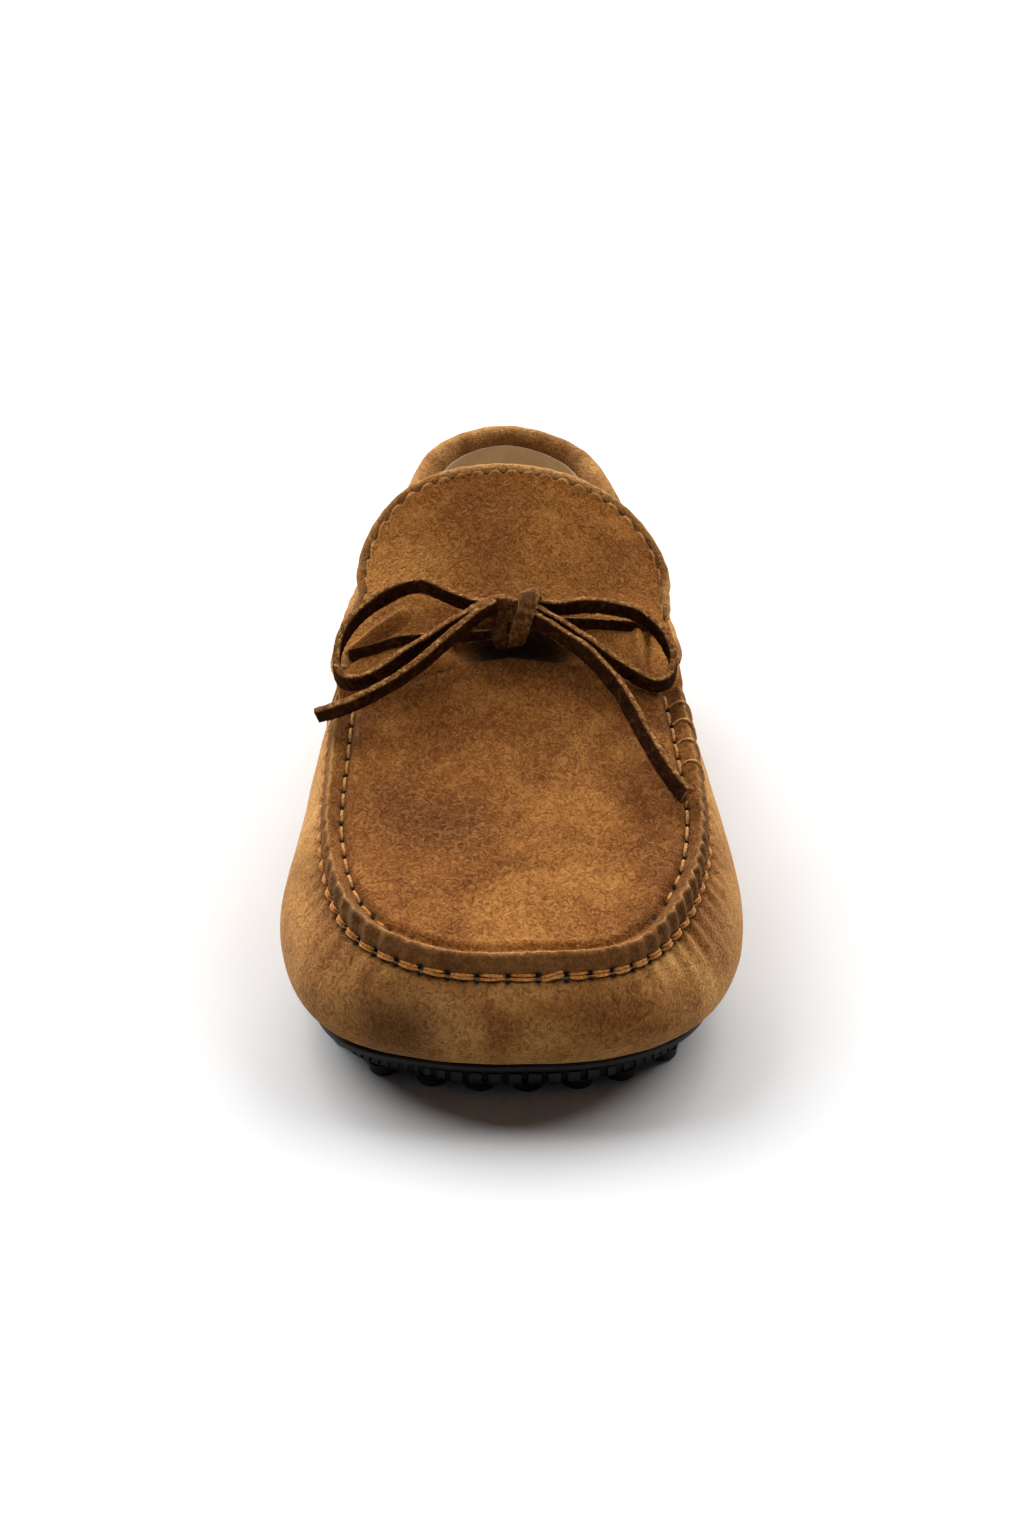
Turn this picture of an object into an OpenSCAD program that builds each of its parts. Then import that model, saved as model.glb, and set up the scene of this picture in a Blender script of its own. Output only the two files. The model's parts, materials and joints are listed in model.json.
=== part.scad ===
// Suede driving moccasin, right foot: moulded rubber nub sole, hand-sewn apron,
// padded collar with a lace run through it, tied in a flat bow over a wide tongue.
// Toe points to -Y, heel to +Y, inner side of the foot to +X, +Z is up.

/* [Upper] */
// Thickness of the suede walls
upper_thickness = 1.8; // [1.4:0.1:1.8]
// Thickness of the linings
lining_thickness = 1; // [0.6:0.1:1]
// Height of the sewn ridge around the apron
ridge_height = 5.5; // [3.5:0.5:6.5]
// Width of the flat top of the sewn ridge
ridge_width = 3.6; // [2.5:0.1:4]
// Thickness of the apron and of the tongue
apron_thickness = 1.8; // [1.2:0.1:2]

/* [Collar] */
// Radius of the padded roll around the ankle
collar_radius = 3.8; // [3.4:0.1:4]
// Radius of the lace that runs inside the roll
lace_radius = 1.5; // [1.1:0.1:1.5]

/* [Bow] */
// Radius of the round stand-in for the flat rawhide of the bow
bow_radius = 1.7; // [1.3:0.1:1.8]

/* [Threads] */
// Radius of the thick hand-sewn thread outside the ridge
thread_radius = 0.7; // [0.4:0.1:0.8]

/* [Sole] */
// Height of the underside of the rubber plate above the ground
plate_bottom = 3; // [2.4:0.1:3.4]
// Radius of one rubber nub
nub_radius = 4.4; // [3:0.1:4.6]
// Distance between neighbouring nubs
nub_pitch = 12.5; // [11:0.5:15]

/* [Hidden] */
// Moves the whole shoe so that the middle of its footprint on the ground is the origin
centre = [-0.82, -3.93, 2];
// Gap between layers that lie on each other
gap = 0.12;

// Widest line of the wall, from the toe round the inner side, the heel and the outer side
widest_inner = [[6, -138, 17], [34, -132, 18], [53.5, -113, 18], [60.2, -82, 20], [56, -46, 23],
  [51, -9, 26], [46.5, 28, 27], [42, 62, 26], [37, 97, 25], [25, 130, 25], [-1, 144, 26]];
widest_outer = [[-28, 129, 25], [-38.5, 96, 25], [-43.5, 60, 26], [-48, 23, 26], [-51.5, -15, 25],
  [-56, -53, 22], [-58.3, -90, 20], [-48, -120, 18], [-23, -135.5, 17]];
// Line where the wall meets the sole
feather_inner = [[5, -132, 7.5], [28, -127.5, 7.5], [44, -113, 7.3], [50, -84, 7], [48.5, -47, 7],
  [42, -9, 7], [37, 28, 7], [34, 63, 7], [31, 97, 7], [21, 125, 7], [-1, 136, 7]];
feather_outer = [[-24, 124, 7], [-33, 95, 7], [-37, 60, 7], [-41.5, 23, 7], [-46.5, -15, 7],
  [-50, -53, 7], [-49, -90, 7], [-40, -118.5, 7.3], [-20, -129.5, 7.5]];
// Upper edge of the wall: the apron seam in front, the top line behind
top_inner = [[5, -127, 28], [30, -122.8, 28.7], [44, -104, 31.3], [50.3, -76, 36], [49, -42, 44],
  [45.5, -10, 51], [41.5, 28, 51.5], [37, 62, 50], [34, 97, 50], [22.5, 129, 56.8], [-1, 140, 60.5]];
top_outer = [[-23, 128, 58], [-33, 97, 50], [-38.5, 61, 50], [-43.5, 24, 51.5], [-46.5, -15, 50],
  [-47.6, -49, 41.5], [-46.5, -83, 34.2], [-38, -111, 30.2], [-19.3, -124.7, 28.4]];
widest = concat(widest_inner, widest_outer);
feather = concat(feather_inner, feather_outer);
top = concat(top_inner, top_outer);

// Height of the instep along the middle of the shoe: distance from the ball, height
instep = [[-150, 27], [-127, 32.5], [-100, 37], [-70, 43.5], [-40, 52.5], [-13, 65.5], [4, 75],
  [20, 86], [34, 97], [50, 108]];

// Free edge of the tongue, from the outer side over the tip to the inner side
tongue_edge = [[-41.2, 7.5], [-41.6, 12.5], [-40.4, 19.5], [-36.5, 25.5], [-30, 29.8], [-21.5, 31.8], [-11.5, 32.5],
  [0, 32.5], [11, 31.6], [21.5, 29.8], [31, 26.6], [37.5, 22], [41, 16.5], [42, 12], [41.6, 7.5]];
// Where the free flap of the tongue starts to bend
bend_y = 4.2;
// Rear end of the apron
throat_y = -21;

// Bow, points along the middle of the lace
loop_left_route = [[-3.9, -13, 73.5], [-8, -15, 72.5], [-14, -18.5, 70.3], [-20.5, -21.5, 67], [-26, -24, 64.5],
  [-32, -26, 60.5], [-38, -27, 57.5], [-43.5, -25.5, 56.2], [-46.2, -21, 58], [-45.5, -13.5, 62.5],
  [-41.5, -8, 67], [-35.5, -4, 70.5], [-29, -2.5, 73.3], [-23, -3, 74.3], [-16, -6, 72.5], [-10, -8.5, 71.2], [-4, -9.5, 70.8]];
tail_left_route = [[-3.6, -17.5, 74.8], [-7, -19.5, 74], [-11.5, -22.5, 71.5], [-16.5, -26, 68.5], [-22, -30, 65],
  [-27.5, -33.5, 62], [-33, -36, 59.5], [-39, -38, 57], [-44.5, -39, 55], [-50.5, -39, 53]];
loop_right_route = [[6.6, -9.7, 71], [13.5, -9.8, 70.8], [20.5, -9.5, 71.5], [27, -9.5, 71], [34, -10.5, 69.5],
  [38.5, -12.5, 67], [42, -15.5, 64], [44, -20, 60], [43, -25, 57.3], [39.5, -28, 56.5], [35.5, -28, 58],
  [31.5, -26.5, 60], [27, -24, 62], [22.5, -21.5, 64.5], [17.5, -19, 67], [12.5, -17, 69.7], [6.6, -14.5, 72]];
tail_right_route = [[6.6, -18.3, 71.3], [10.5, -20.5, 70], [15, -23.5, 68], [19.5, -27.5, 66.5], [24, -32.5, 64],
  [28.5, -38, 60.5], [32, -44.5, 57], [35, -51, 53.5], [38.5, -58, 50], [42, -64.5, 47], [45, -69, 45.4]];
// Lace from the knot to each end of the collar tunnel
crossing_left = [[-2.5, -13.5, 68.5], [-10, -13.5, 68], [-20, -13.5, 66.8], [-30, -12.5, 64.9], [-39.5, -11, 62.3]];
crossing_right = [[5.5, -13.5, 68.5], [12, -13.5, 68], [21, -13.5, 66.8], [30, -12, 65], [39.5, -9.5, 62.8]];

// ---- curves ----
function pick(p, i) = p[((i % len(p)) + len(p)) % len(p)];
function unit(a) = a / norm(a);
function spline(a, b, c, d, t) =
  0.5 * (2 * b + (c - a) * t + (2 * a - 5 * b + 4 * c - d) * t * t + (3 * b - a - 3 * c + d) * t * t * t);
// Closed curve through points, u counts the points
function closed(p, u) =
  let(i = floor(u), t = u - i)
  spline(pick(p, i - 1), pick(p, i), pick(p, i + 1), pick(p, i + 2), t);
// Open curve through points
function open(p, u) =
  let(n = len(p) - 1, i = min(floor(u), n - 1), t = u - i)
  spline(p[max(i - 1, 0)], p[i], p[i + 1], p[min(i + 2, n)], t);
function level(y) =
  let(k = [for (i = [0:len(instep) - 2]) if (y >= instep[i][0]) i], i = len(k) > 0 ? max(k) : 0)
  let(n = len(instep) - 1, a = instep[max(i - 1, 0)], b = instep[i], c = instep[i + 1], d = instep[min(i + 2, n)])
  let(w = c[0] - b[0], t = (y - b[0]) / w)
  let(m0 = (c[1] - a[1]) / (c[0] - a[0]) * w, m1 = (d[1] - b[1]) / (d[0] - b[0]) * w)
  (2 * t * t * t - 3 * t * t + 1) * b[1] + (t * t * t - 2 * t * t + t) * m0
  + (3 * t * t - 2 * t * t * t) * c[1] + (t * t * t - t * t) * m1;
// Saddle of the instep across the shoe
function saddle(x, y) =
  let(t = max(0, min(1.2, (y + 128) / 140)))
  level(y) - (3 + 8 * pow(t, 1.5)) * pow(abs(x / 45), 2.2);

// ---- wall of the upper: u runs round the shoe, v from the sole to the top edge ----
function wall(u, v) =
  let(f = closed(feather, u), w = closed(widest, u), t = closed(top, u))
  let(a = [f[0] + 1.25 * (w[0] - f[0]), f[1] + 1.25 * (w[1] - f[1]), f[2] + 0.2 * (w[2] - f[2])])
  let(b = [t[0] + 1.15 * (w[0] - t[0]), t[1] + 1.15 * (w[1] - t[1]), t[2] + 0.6 * (w[2] - t[2])])
  pow(1 - v, 3) * f + 3 * pow(1 - v, 2) * v * a + 3 * (1 - v) * v * v * b + pow(v, 3) * t;
function wall_out(u, v) =
  unit(cross(wall(u + 0.05, v) - wall(u - 0.05, v), wall(u, min(v + 0.02, 1)) - wall(u, max(v - 0.02, 0))));
function wall_at(u, v, depth) = wall(u, v) - depth * wall_out(u, v);
// Outline of the sole, moved inwards
function foot(u, inset) =
  let(d = closed(feather, u + 0.05) - closed(feather, u - 0.05), n = unit([d[1], -d[0], 0]))
  closed(feather, u) - inset * n;

// ---- solids from grids of points ----
// Closed solid between two grids, the first on the outside
module slab(outer, inner) {
  r = len(outer);
  c = len(outer[0]);
  n = r * c;
  points = concat([for (row = outer) each row], [for (row = inner) each row]);
  skin = [for (i = [0:r - 2], j = [0:c - 2]) let(a = i * c + j, b = a + 1, d = a + c, e = d + 1)
    each [[a, b, e], [a, e, d], [n + a, n + e, n + b], [n + a, n + d, n + e]]];
  ends = [for (j = [0:c - 2]) let(a = j, b = j + 1, d = (r - 1) * c + j, e = d + 1)
    each [[a, n + a, n + b], [a, n + b, b], [d, e, n + e], [d, n + e, n + d]]];
  sides = [for (i = [0:r - 2]) let(a = i * c, b = a + c, d = a + c - 1, e = d + c)
    each [[a, b, n + b], [a, n + b, n + a], [d, n + e, e], [d, n + d, n + e]]];
  polyhedron(points, concat(skin, ends, sides));
}
// Part of the wall between two depths
module panel(u0, u1, v0, v1, d0, d1, nu, nv) {
  slab(
    [for (i = [0:nu]) [for (j = [0:nv]) wall_at(u0 + (u1 - u0) * i / nu, v0 + (v1 - v0) * j / nv, d0)]],
    [for (i = [0:nu]) [for (j = [0:nv]) wall_at(u0 + (u1 - u0) * i / nu, v0 + (v1 - v0) * j / nv, d1)]]);
}
// Flat layer under the foot, from the toe (0) to the heel (10)
function layer(u0, u1, inset, lift, rows, cols) =
  [for (i = [0:rows]) let(u = u0 + (u1 - u0) * i / rows, m = foot(u, inset), l = foot(20 - u, inset))
    [for (j = [0:cols]) m + (l - m) * j / cols + [0, 0, lift]]];
module plate(u0, u1, inset_top, inset_bottom, z_top, z_bottom, rows, cols) {
  slab(layer(u0, u1, inset_top, z_top, rows, cols), layer(u0, u1, inset_bottom, z_bottom, rows, cols));
}
// Ring of points across a route
function across(d, r, sides, k) =
  let(s = unit(cross(abs(d[2]) > 0.9 * norm(d) ? [0, 1, 0] : [0, 0, 1], d)), w = unit(cross(d, s)))
  [for (a = [0:sides - 1]) r * cos(360 * (a + k) / sides) * s + r * sin(360 * (a + k) / sides) * w];
// Round cord along a route
module cord(route, r, sides) {
  m = len(route);
  rings = [for (i = [0:m - 1]) let(d = route[min(i + 1, m - 1)] - route[max(i - 1, 0)])
    [for (q = across(d, r, sides, 0.5)) route[i] + q]];
  points = [for (ring = rings) each ring];
  side = [for (i = [0:m - 2], a = [0:sides - 1])
    let(p = i * sides + a, q = i * sides + (a + 1) % sides, s = p + sides, t = q + sides)
    each [[p, s, t], [p, t, q]]];
  start = [[for (a = [0:sides - 1]) a]];
  finish = [[for (a = [0:sides - 1]) m * sides - 1 - a]];
  polyhedron(points, concat(side, start, finish));
}
// Hollow tube along a route
module hose(route, r_out, r_in, sides) {
  m = len(route);
  function at(i) = route[min(i + 1, m - 1)] - route[max(i - 1, 0)];
  points = concat(
    [for (i = [0:m - 1]) each [for (q = across(at(i), r_out, sides, 0.5)) route[i] + q]],
    [for (i = [0:m - 1]) each [for (q = across(at(i), r_in, sides, 0.5)) route[i] + q]]);
  n = m * sides;
  side = [for (i = [0:m - 2], a = [0:sides - 1])
    let(p = i * sides + a, q = i * sides + (a + 1) % sides, s = p + sides, t = q + sides)
    each [[p, s, t], [p, t, q], [n + p, n + t, n + s], [n + p, n + q, n + t]]];
  start = [for (a = [0:sides - 1]) let(b = (a + 1) % sides) each [[a, b, n + b], [a, n + b, n + a]]];
  e = (m - 1) * sides;
  finish = [for (a = [0:sides - 1]) let(p = e + a, q = e + (a + 1) % sides)
    each [[p, n + p, n + q], [p, n + q, q]]];
  polyhedron(points, concat(side, start, finish));
}
function along(p, n) = [for (i = [0:n]) open(p, (len(p) - 1) * i / n)];

// ---- sole ----
module nub(x, y, tall) {
  translate([x, y, -centre[2]]) cylinder(h = tall, r1 = nub_radius * 0.86, r2 = nub_radius, $fn = 14);
}
function inside(x, y, inset) =
  let(us = [for (k = [0:40]) k / 4])
  let(near = [for (u = us) abs(foot(u, 0)[1] - y)], k = search(min(near), near)[0])
  x < foot(us[k], inset)[0] && x > foot(20 - us[k], inset)[0];
module nub_field(y0, y1) {
  for (i = [0:floor((y1 - y0) / nub_pitch)])
    for (j = [-4:4])
      let(x = (j + (i % 2) / 2) * nub_pitch + 0.5, y = y0 + i * nub_pitch)
        if (inside(x, y, nub_radius + 3)) nub(x, y, plate_bottom + 0.4);
}
// Row of nubs that follows the edge of the toe
module nub_edge(us) {
  for (u = us) let(p = foot(u, nub_radius + 0.6)) nub(p[0], p[1], plate_bottom + 0.4);
}
module forefoot_sole() {
  color("black") {
    plate(0.3, 5.9, 0, 2.2, -gap, plate_bottom - 9.2, 22, 3);
    nub_edge([-1.55, -1.05, -0.6, -0.17, 0.27, 0.72, 1.2, 1.75]);
    nub_field(-112, 12);
  }
}
module heel_sole() {
  color("black") {
    plate(7.3, 9.75, 0, 2.2, -gap, plate_bottom - 9, 12, 3);
    panel(9.25, 10.75, 0, 0.42, -2, -gap, 8, 5);
    nub_field(80, 122);
  }
}

// ---- layers under the foot ----
module bottom_leather() {
  color("sienna") plate(0.35, 9.6, 1, 1, 1.5, 0.05, 20, 3);
}
module insole_board() {
  color("tan") plate(0.35, 9.6, 1.1, 1.1, 2.9, 1.62, 20, 3);
}
module footbed_foam() {
  color("wheat") plate(0.35, 9.6, 2, 2, 6.9, 3.02, 20, 3);
}
module sock_liner() {
  color("burlywood") plate(0.35, 9.6, 2, 2, 7.9, 7.02, 20, 3);
}

// ---- walls ----
module vamp() {
  color("peru") panel(-4.94, 4.94, 0, 1, 0, upper_thickness, 44, 8);
}
module quarter_medial() {
  color("peru") panel(4.98, 9.98, 0, 1, 0, upper_thickness, 22, 8);
}
module quarter_lateral() {
  color("peru") panel(10.02, 15.02, 0, 1, 0, upper_thickness, 22, 8);
}
module back_strap() {
  color("chocolate") panel(9.72, 10.28, 0.5, 0.93, -1.4, -gap, 4, 5);
}
module heel_counter() {
  color("gray") panel(8.3, 11.7, 0.12, 0.82, upper_thickness + 2.5 * gap, upper_thickness + 1.2, 16, 6);
}
module vamp_lining() {
  d = upper_thickness + 2 * gap;
  color("wheat") panel(-4.94, 4.94, 0.125, 1 - 0.5 / 8, d, d + lining_thickness, 44, 6);
}
module quarter_lining() {
  d = upper_thickness + 1.2 + 2 * gap;
  color("wheat") panel(5.02, 14.98, 0.13, 0.985, d, d + lining_thickness, 38, 6);
}

// ---- apron with its raised sewn edge ----
apron_end = 4.55;
apron_steps = 22;
function apron_u(i) = apron_end * i / apron_steps;
function spine(i) = let(f = abs(i) / apron_steps) [0.6 - 0.6 * f, -98 + (throat_y + 98) * f, 0];
// Distances from the edge along each line to the spine
edge_steps = [0, 0.9, ridge_width, ridge_width + 1.8, ridge_width + 4];
edge_rise = [ridge_height - 1.1, ridge_height, ridge_height, ridge_height - 1.3, ridge_height - 1.5];
edge_floor = [gap, gap, gap, ridge_height - 1.3 - apron_thickness, ridge_height - 1.5 - apron_thickness];
inner_steps = [0.32, 0.55, 0.78];
function apron_line(i, upper) =
  let(e = closed(top, apron_u(i)), s = spine(i), d = [s[0] - e[0], s[1] - e[1], 0], len_d = norm(d))
  let(zc = function(p, f) let(k = 1 - pow(1 - f, 2.2)) (e[2] + ridge_height - 1.3) * (1 - k) + level(p[1]) * k)
  concat(
    [for (k = [0:4]) let(p = [e[0], e[1], 0] + d * edge_steps[k] / len_d, f = edge_steps[k] / len_d)
      [p[0], p[1], k < 3 ? e[2] + (upper ? edge_rise[k] : edge_floor[k])
        : (zc(p, f) + edge_rise[k] - ridge_height + 1.3 - (upper ? 0 : apron_thickness))]],
    [for (g = inner_steps) let(f = g, p = [e[0], e[1], 0] + d * f)
      [p[0], p[1], zc(p, f) - (upper ? 0 : apron_thickness)]]);
function apron_spine(i, upper) = let(s = spine(i)) [s[0], s[1], level(s[1]) - (upper ? 0 : apron_thickness)];
module apron() {
  n = apron_steps;
  c = 8;
  grid = (2 * n + 1) * c;
  half = grid + n + 1;
  points = concat(
    [for (i = [-n:n]) each apron_line(i, true)], [for (i = [0:n]) apron_spine(i, true)],
    [for (i = [-n:n]) each apron_line(i, false)], [for (i = [0:n]) apron_spine(i, false)]);
  function id(i, j) = j == c ? grid + abs(i) : (i + n) * c + j;
  skin = [for (i = [-n:n - 1], j = [0:c - 1])
    let(a = id(i, j), b = id(i, j + 1), d = id(i + 1, j), e = id(i + 1, j + 1))
    each concat(
      [[a, b, e], [a, e, d]],
      [[half + a, half + e, half + b], [half + a, half + d, half + e]])];
  rim = [for (i = [-n:n - 1]) let(a = id(i, 0), b = id(i + 1, 0)) each [[a, b, half + b], [a, half + b, half + a]]];
  back = [for (j = [0:c - 1], s = [-1, 1]) let(a = id(s * n, j), b = id(s * n, j + 1))
    each (s < 0 ? [[a, half + a, half + b], [a, half + b, b]] : [[a, b, half + b], [a, half + b, half + a]])];
  color("peru") polyhedron(points, concat(skin, rim, back));
}
module seam_thread_outer() {
  lift = thread_radius + gap;
  color("orange") cord([for (i = [-36:36]) let(u = 4.5 * i / 36, n = wall_out(u, 0.97))
    closed(top, u) + unit([n[0], n[1], 0]) * (lift + 0.15) + [0, 0, lift + 0.15]], thread_radius, 6);
}
module seam_thread_inner() {
  color("orange") cord([for (i = [-22:22]) let(e = apron_line(i, true)) e[3] + [0, 0, 0.75]], 0.45, 6);
}
// Rolled ends of the apron seam beside the throat
module seam_end(u0, u1) {
  route = [for (i = [0:8]) let(u = u0 + (u1 - u0) * i / 8, p = closed(top, u)) p + [0, 0, 3.1]];
  cord(route, 2.8, 10);
}
module seam_end_medial() { color("peru") seam_end(4.62, 4.86); }
module seam_end_lateral() { color("peru") seam_end(15.38, 15.12); }

// ---- collar ----
collar_route = [for (i = [0:36]) let(u = 5.05 + 9.9 * i / 36, p = closed(top, u), n = wall_out(u, 0.9))
  p + [0, 0, collar_radius + 0.25] - unit([n[0], n[1], 0]) * 1.3];
module collar_roll() { color("saddlebrown") hose(collar_route, collar_radius, collar_radius - 0.9, 8); }
module collar_foam() { color("wheat") hose(collar_route, collar_radius - 1, lace_radius + 0.15, 8); }
module collar_lace() {
  inner_run = [for (i = [0:9]) open(crossing_right, 4 * i / 9)];
  outer_run = [for (i = [0:9]) open(crossing_left, 4 * (9 - i) / 9)];
  color("maroon") cord(concat(inner_run, collar_route, outer_run), lace_radius, 8);
}
module collar_thread() {
  color("orange") cord([for (i = [0:40]) let(u = 5.2 + 9.6 * i / 40) wall_at(u, 0.97, -0.6)], 0.4, 6);
}
module heel_thread() {
  for (s = [-1, 1]) color("orange")
    cord([for (i = [0:10]) wall_at(10 + s * 0.24, 0.52 + 0.042 * i, -1.4 - 0.42)], 0.3, 6);
}

// ---- tongue ----
module leaf(rows, upper, lower) {
  slab(
    [for (row = rows) [for (p = row) [p[0], p[1], saddle(p[0], p[1]) - upper]]],
    [for (row = rows) [for (p = row) [p[0], p[1], saddle(p[0], p[1]) - lower]]]);
}
base_rows = [for (i = [0:12]) let(f = i / 6 - 1)
  [for (j = [0:6]) let(g = j / 6) [f * (36 + 4 * g), throat_y + 0.4 + (bend_y - 0.7 - throat_y - 0.4) * g]]];
// Start of each line on the bend, from the outer side (0) to the inner side (1)
function bend_point(f) = [-40.5 + 81 * f, bend_y + 0.6];
// Lines from the bend to the free edge, kept a distance short of it
function flap_rows(short) = [for (i = [0:24]) let(e = open(tongue_edge, 14 * i / 24), s = bend_point(i / 24))
  let(d = e - s, k = 1 - short / norm(d)) [for (j = [0:5]) s + d * k * j / 5]];
module tongue_base() { color("peru") leaf(base_rows, 0, apron_thickness); }
module tongue_base_lining() {
  color("wheat") leaf(base_rows, apron_thickness + gap, apron_thickness + gap + lining_thickness);
}
// Folded side of the throat, from under the tongue down inside the top edge of the wall
module gusset(side) {
  lower_u = side > 0 ? [4.7, 5.42] : [15.3, 14.4];
  a = [for (i = [0:8]) let(g = i / 8, x = side * (34.5 + 4 * g), y = throat_y + 1 + (bend_y - 1.6 - throat_y - 1) * g)
    [x, y, saddle(x, y) - apron_thickness - lining_thickness - 3 * gap]];
  b = [for (i = [0:8]) let(u = lower_u[0] + (lower_u[1] - lower_u[0]) * i / 8) wall_at(u, 0.93, 5.4)];
  color("peru") slab(
    [for (i = [0:8]) [for (j = [0:5]) let(f = side > 0 ? 1 - j / 5 : j / 5) a[i] + (b[i] - a[i]) * f]],
    [for (i = [0:8]) [for (j = [0:5]) let(f = side > 0 ? 1 - j / 5 : j / 5) a[i] + (b[i] - a[i]) * f
      - [side * 0.7, 0, 0.9]]]);
}
module gusset_medial() { gusset(1); }
module gusset_lateral() { gusset(-1); }
module tongue() { color("peru") leaf(flap_rows(2), 0, apron_thickness); }
module tongue_lining() {
  color("wheat") leaf(flap_rows(2.4), apron_thickness + gap, apron_thickness + gap + lining_thickness);
}
module tongue_binding() {
  color("saddlebrown") cord([for (i = [0:30]) let(e = open(tongue_edge, 14 * i / 30))
    [e[0], e[1], saddle(e[0], e[1]) - 1.1]], 1.6, 8);
}
module tongue_thread() {
  color("orange") cord([for (i = [1:2:55]) let(e = open(tongue_edge, 14 * i / 56), s = bend_point(i / 56))
    let(d = e - s, p = s + d * (1 - 3.6 / norm(d))) [p[0], p[1], saddle(p[0], p[1]) + 0.62]], 0.4, 6);
}

// ---- bow ----
module bow_loop_left() { color("maroon") cord(along(loop_left_route, 30), bow_radius, 8); }
module bow_loop_right() { color("maroon") cord(along(loop_right_route, 28), bow_radius, 8); }
module lace_tail_left() { color("maroon") cord(along(tail_left_route, 18), bow_radius, 8); }
module lace_tail_right() { color("maroon") cord(along(tail_right_route, 20), bow_radius, 8); }
module lace_knot() {
  color("maroon") translate([1.4, -14, 72.6]) rotate([58, 0, 0]) {
    cylinder(h = 9, r = 4.6, center = true, $fn = 32);
  }
}

module placed() { translate(centre) children(); }
placed() forefoot_sole();
placed() heel_sole();
placed() bottom_leather();
placed() insole_board();
placed() footbed_foam();
placed() sock_liner();
placed() vamp();
placed() quarter_medial();
placed() quarter_lateral();
placed() back_strap();
placed() heel_counter();
placed() vamp_lining();
placed() quarter_lining();
placed() apron();
placed() seam_thread_outer();
placed() seam_thread_inner();
placed() seam_end_medial();
placed() seam_end_lateral();
placed() collar_roll();
placed() collar_foam();
placed() collar_lace();
placed() collar_thread();
placed() heel_thread();
placed() tongue_base();
placed() tongue_base_lining();
placed() gusset_medial();
placed() gusset_lateral();
placed() tongue();
placed() tongue_lining();
placed() tongue_binding();
placed() tongue_thread();
placed() bow_loop_left();
placed() bow_loop_right();
placed() lace_tail_left();
placed() lace_tail_right();
placed() lace_knot();
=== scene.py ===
import json
import math

import bmesh
import bpy
import numpy as np
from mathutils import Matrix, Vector, noise


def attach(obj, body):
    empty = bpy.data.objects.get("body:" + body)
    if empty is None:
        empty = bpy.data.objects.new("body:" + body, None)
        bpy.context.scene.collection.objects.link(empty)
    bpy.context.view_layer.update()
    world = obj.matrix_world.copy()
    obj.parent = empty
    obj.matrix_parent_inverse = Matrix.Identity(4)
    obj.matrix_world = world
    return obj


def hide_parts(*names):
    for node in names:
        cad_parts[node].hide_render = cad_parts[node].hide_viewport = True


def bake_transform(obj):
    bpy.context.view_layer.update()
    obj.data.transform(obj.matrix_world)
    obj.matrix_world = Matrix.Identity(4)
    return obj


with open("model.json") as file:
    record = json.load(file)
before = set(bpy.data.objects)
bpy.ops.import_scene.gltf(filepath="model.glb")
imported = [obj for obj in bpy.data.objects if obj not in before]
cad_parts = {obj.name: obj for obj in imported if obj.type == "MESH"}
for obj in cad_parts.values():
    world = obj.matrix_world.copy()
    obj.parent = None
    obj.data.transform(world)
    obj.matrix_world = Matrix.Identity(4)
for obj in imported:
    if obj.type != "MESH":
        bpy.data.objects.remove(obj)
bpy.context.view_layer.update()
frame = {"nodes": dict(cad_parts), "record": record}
MM = 0.001

# ---------------- shape of the shoe, in millimetres
# Round the shoe from the toe: inner side, heel, outer side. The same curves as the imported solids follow.
WIDEST = np.array([
    (6, -138, 17), (34, -132, 18), (53.5, -113, 18), (60.2, -82, 20), (56, -46, 23), (51, -9, 26),
    (46.5, 28, 27), (42, 62, 26), (37, 97, 25), (25, 130, 25), (-1, 144, 26), (-28, 129, 25),
    (-38.5, 96, 25), (-43.5, 60, 26), (-48, 23, 26), (-51.5, -15, 25), (-56, -53, 22),
    (-58.3, -90, 20), (-48, -120, 18), (-23, -135.5, 17)], float)
FEATHER = np.array([
    (5, -132, 7.5), (28, -127.5, 7.5), (44, -113, 7.3), (50, -84, 7), (48.5, -47, 7), (42, -9, 7),
    (37, 28, 7), (34, 63, 7), (31, 97, 7), (21, 125, 7), (-1, 136, 7), (-24, 124, 7),
    (-33, 95, 7), (-37, 60, 7), (-41.5, 23, 7), (-46.5, -15, 7), (-50, -53, 7),
    (-49, -90, 7), (-40, -118.5, 7.3), (-20, -129.5, 7.5)], float)
TOP = np.array([
    (5, -127, 28), (30, -122.8, 28.7), (44, -104, 31.3), (50.3, -76, 36), (49, -42, 44), (45.5, -10, 51),
    (41.5, 28, 51.5), (37, 62, 50), (34, 97, 50), (22.5, 129, 56.8), (-1, 140, 60.5), (-23, 128, 58),
    (-33, 97, 50), (-38.5, 61, 50), (-43.5, 24, 51.5), (-46.5, -15, 50), (-47.6, -49, 41.5),
    (-46.5, -83, 34.2), (-38, -111, 30.2), (-19.3, -124.7, 28.4)], float)
INSTEP = np.array([(-150, 27), (-127, 32.5), (-100, 37), (-70, 43.5), (-40, 52.5), (-13, 65.5), (4, 75),
                   (20, 86), (34, 97), (50, 108)], float)
TONGUE_EDGE = np.array([
    (-41.2, 7.5), (-41.6, 12.5), (-40.4, 19.5), (-36.5, 25.5), (-30, 29.8), (-21.5, 31.8), (-11.5, 32.5),
    (0, 32.5), (11, 31.6), (21.5, 29.8), (31, 26.6), (37.5, 22), (41, 16.5), (42, 12), (41.6, 7.5)], float)
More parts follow.
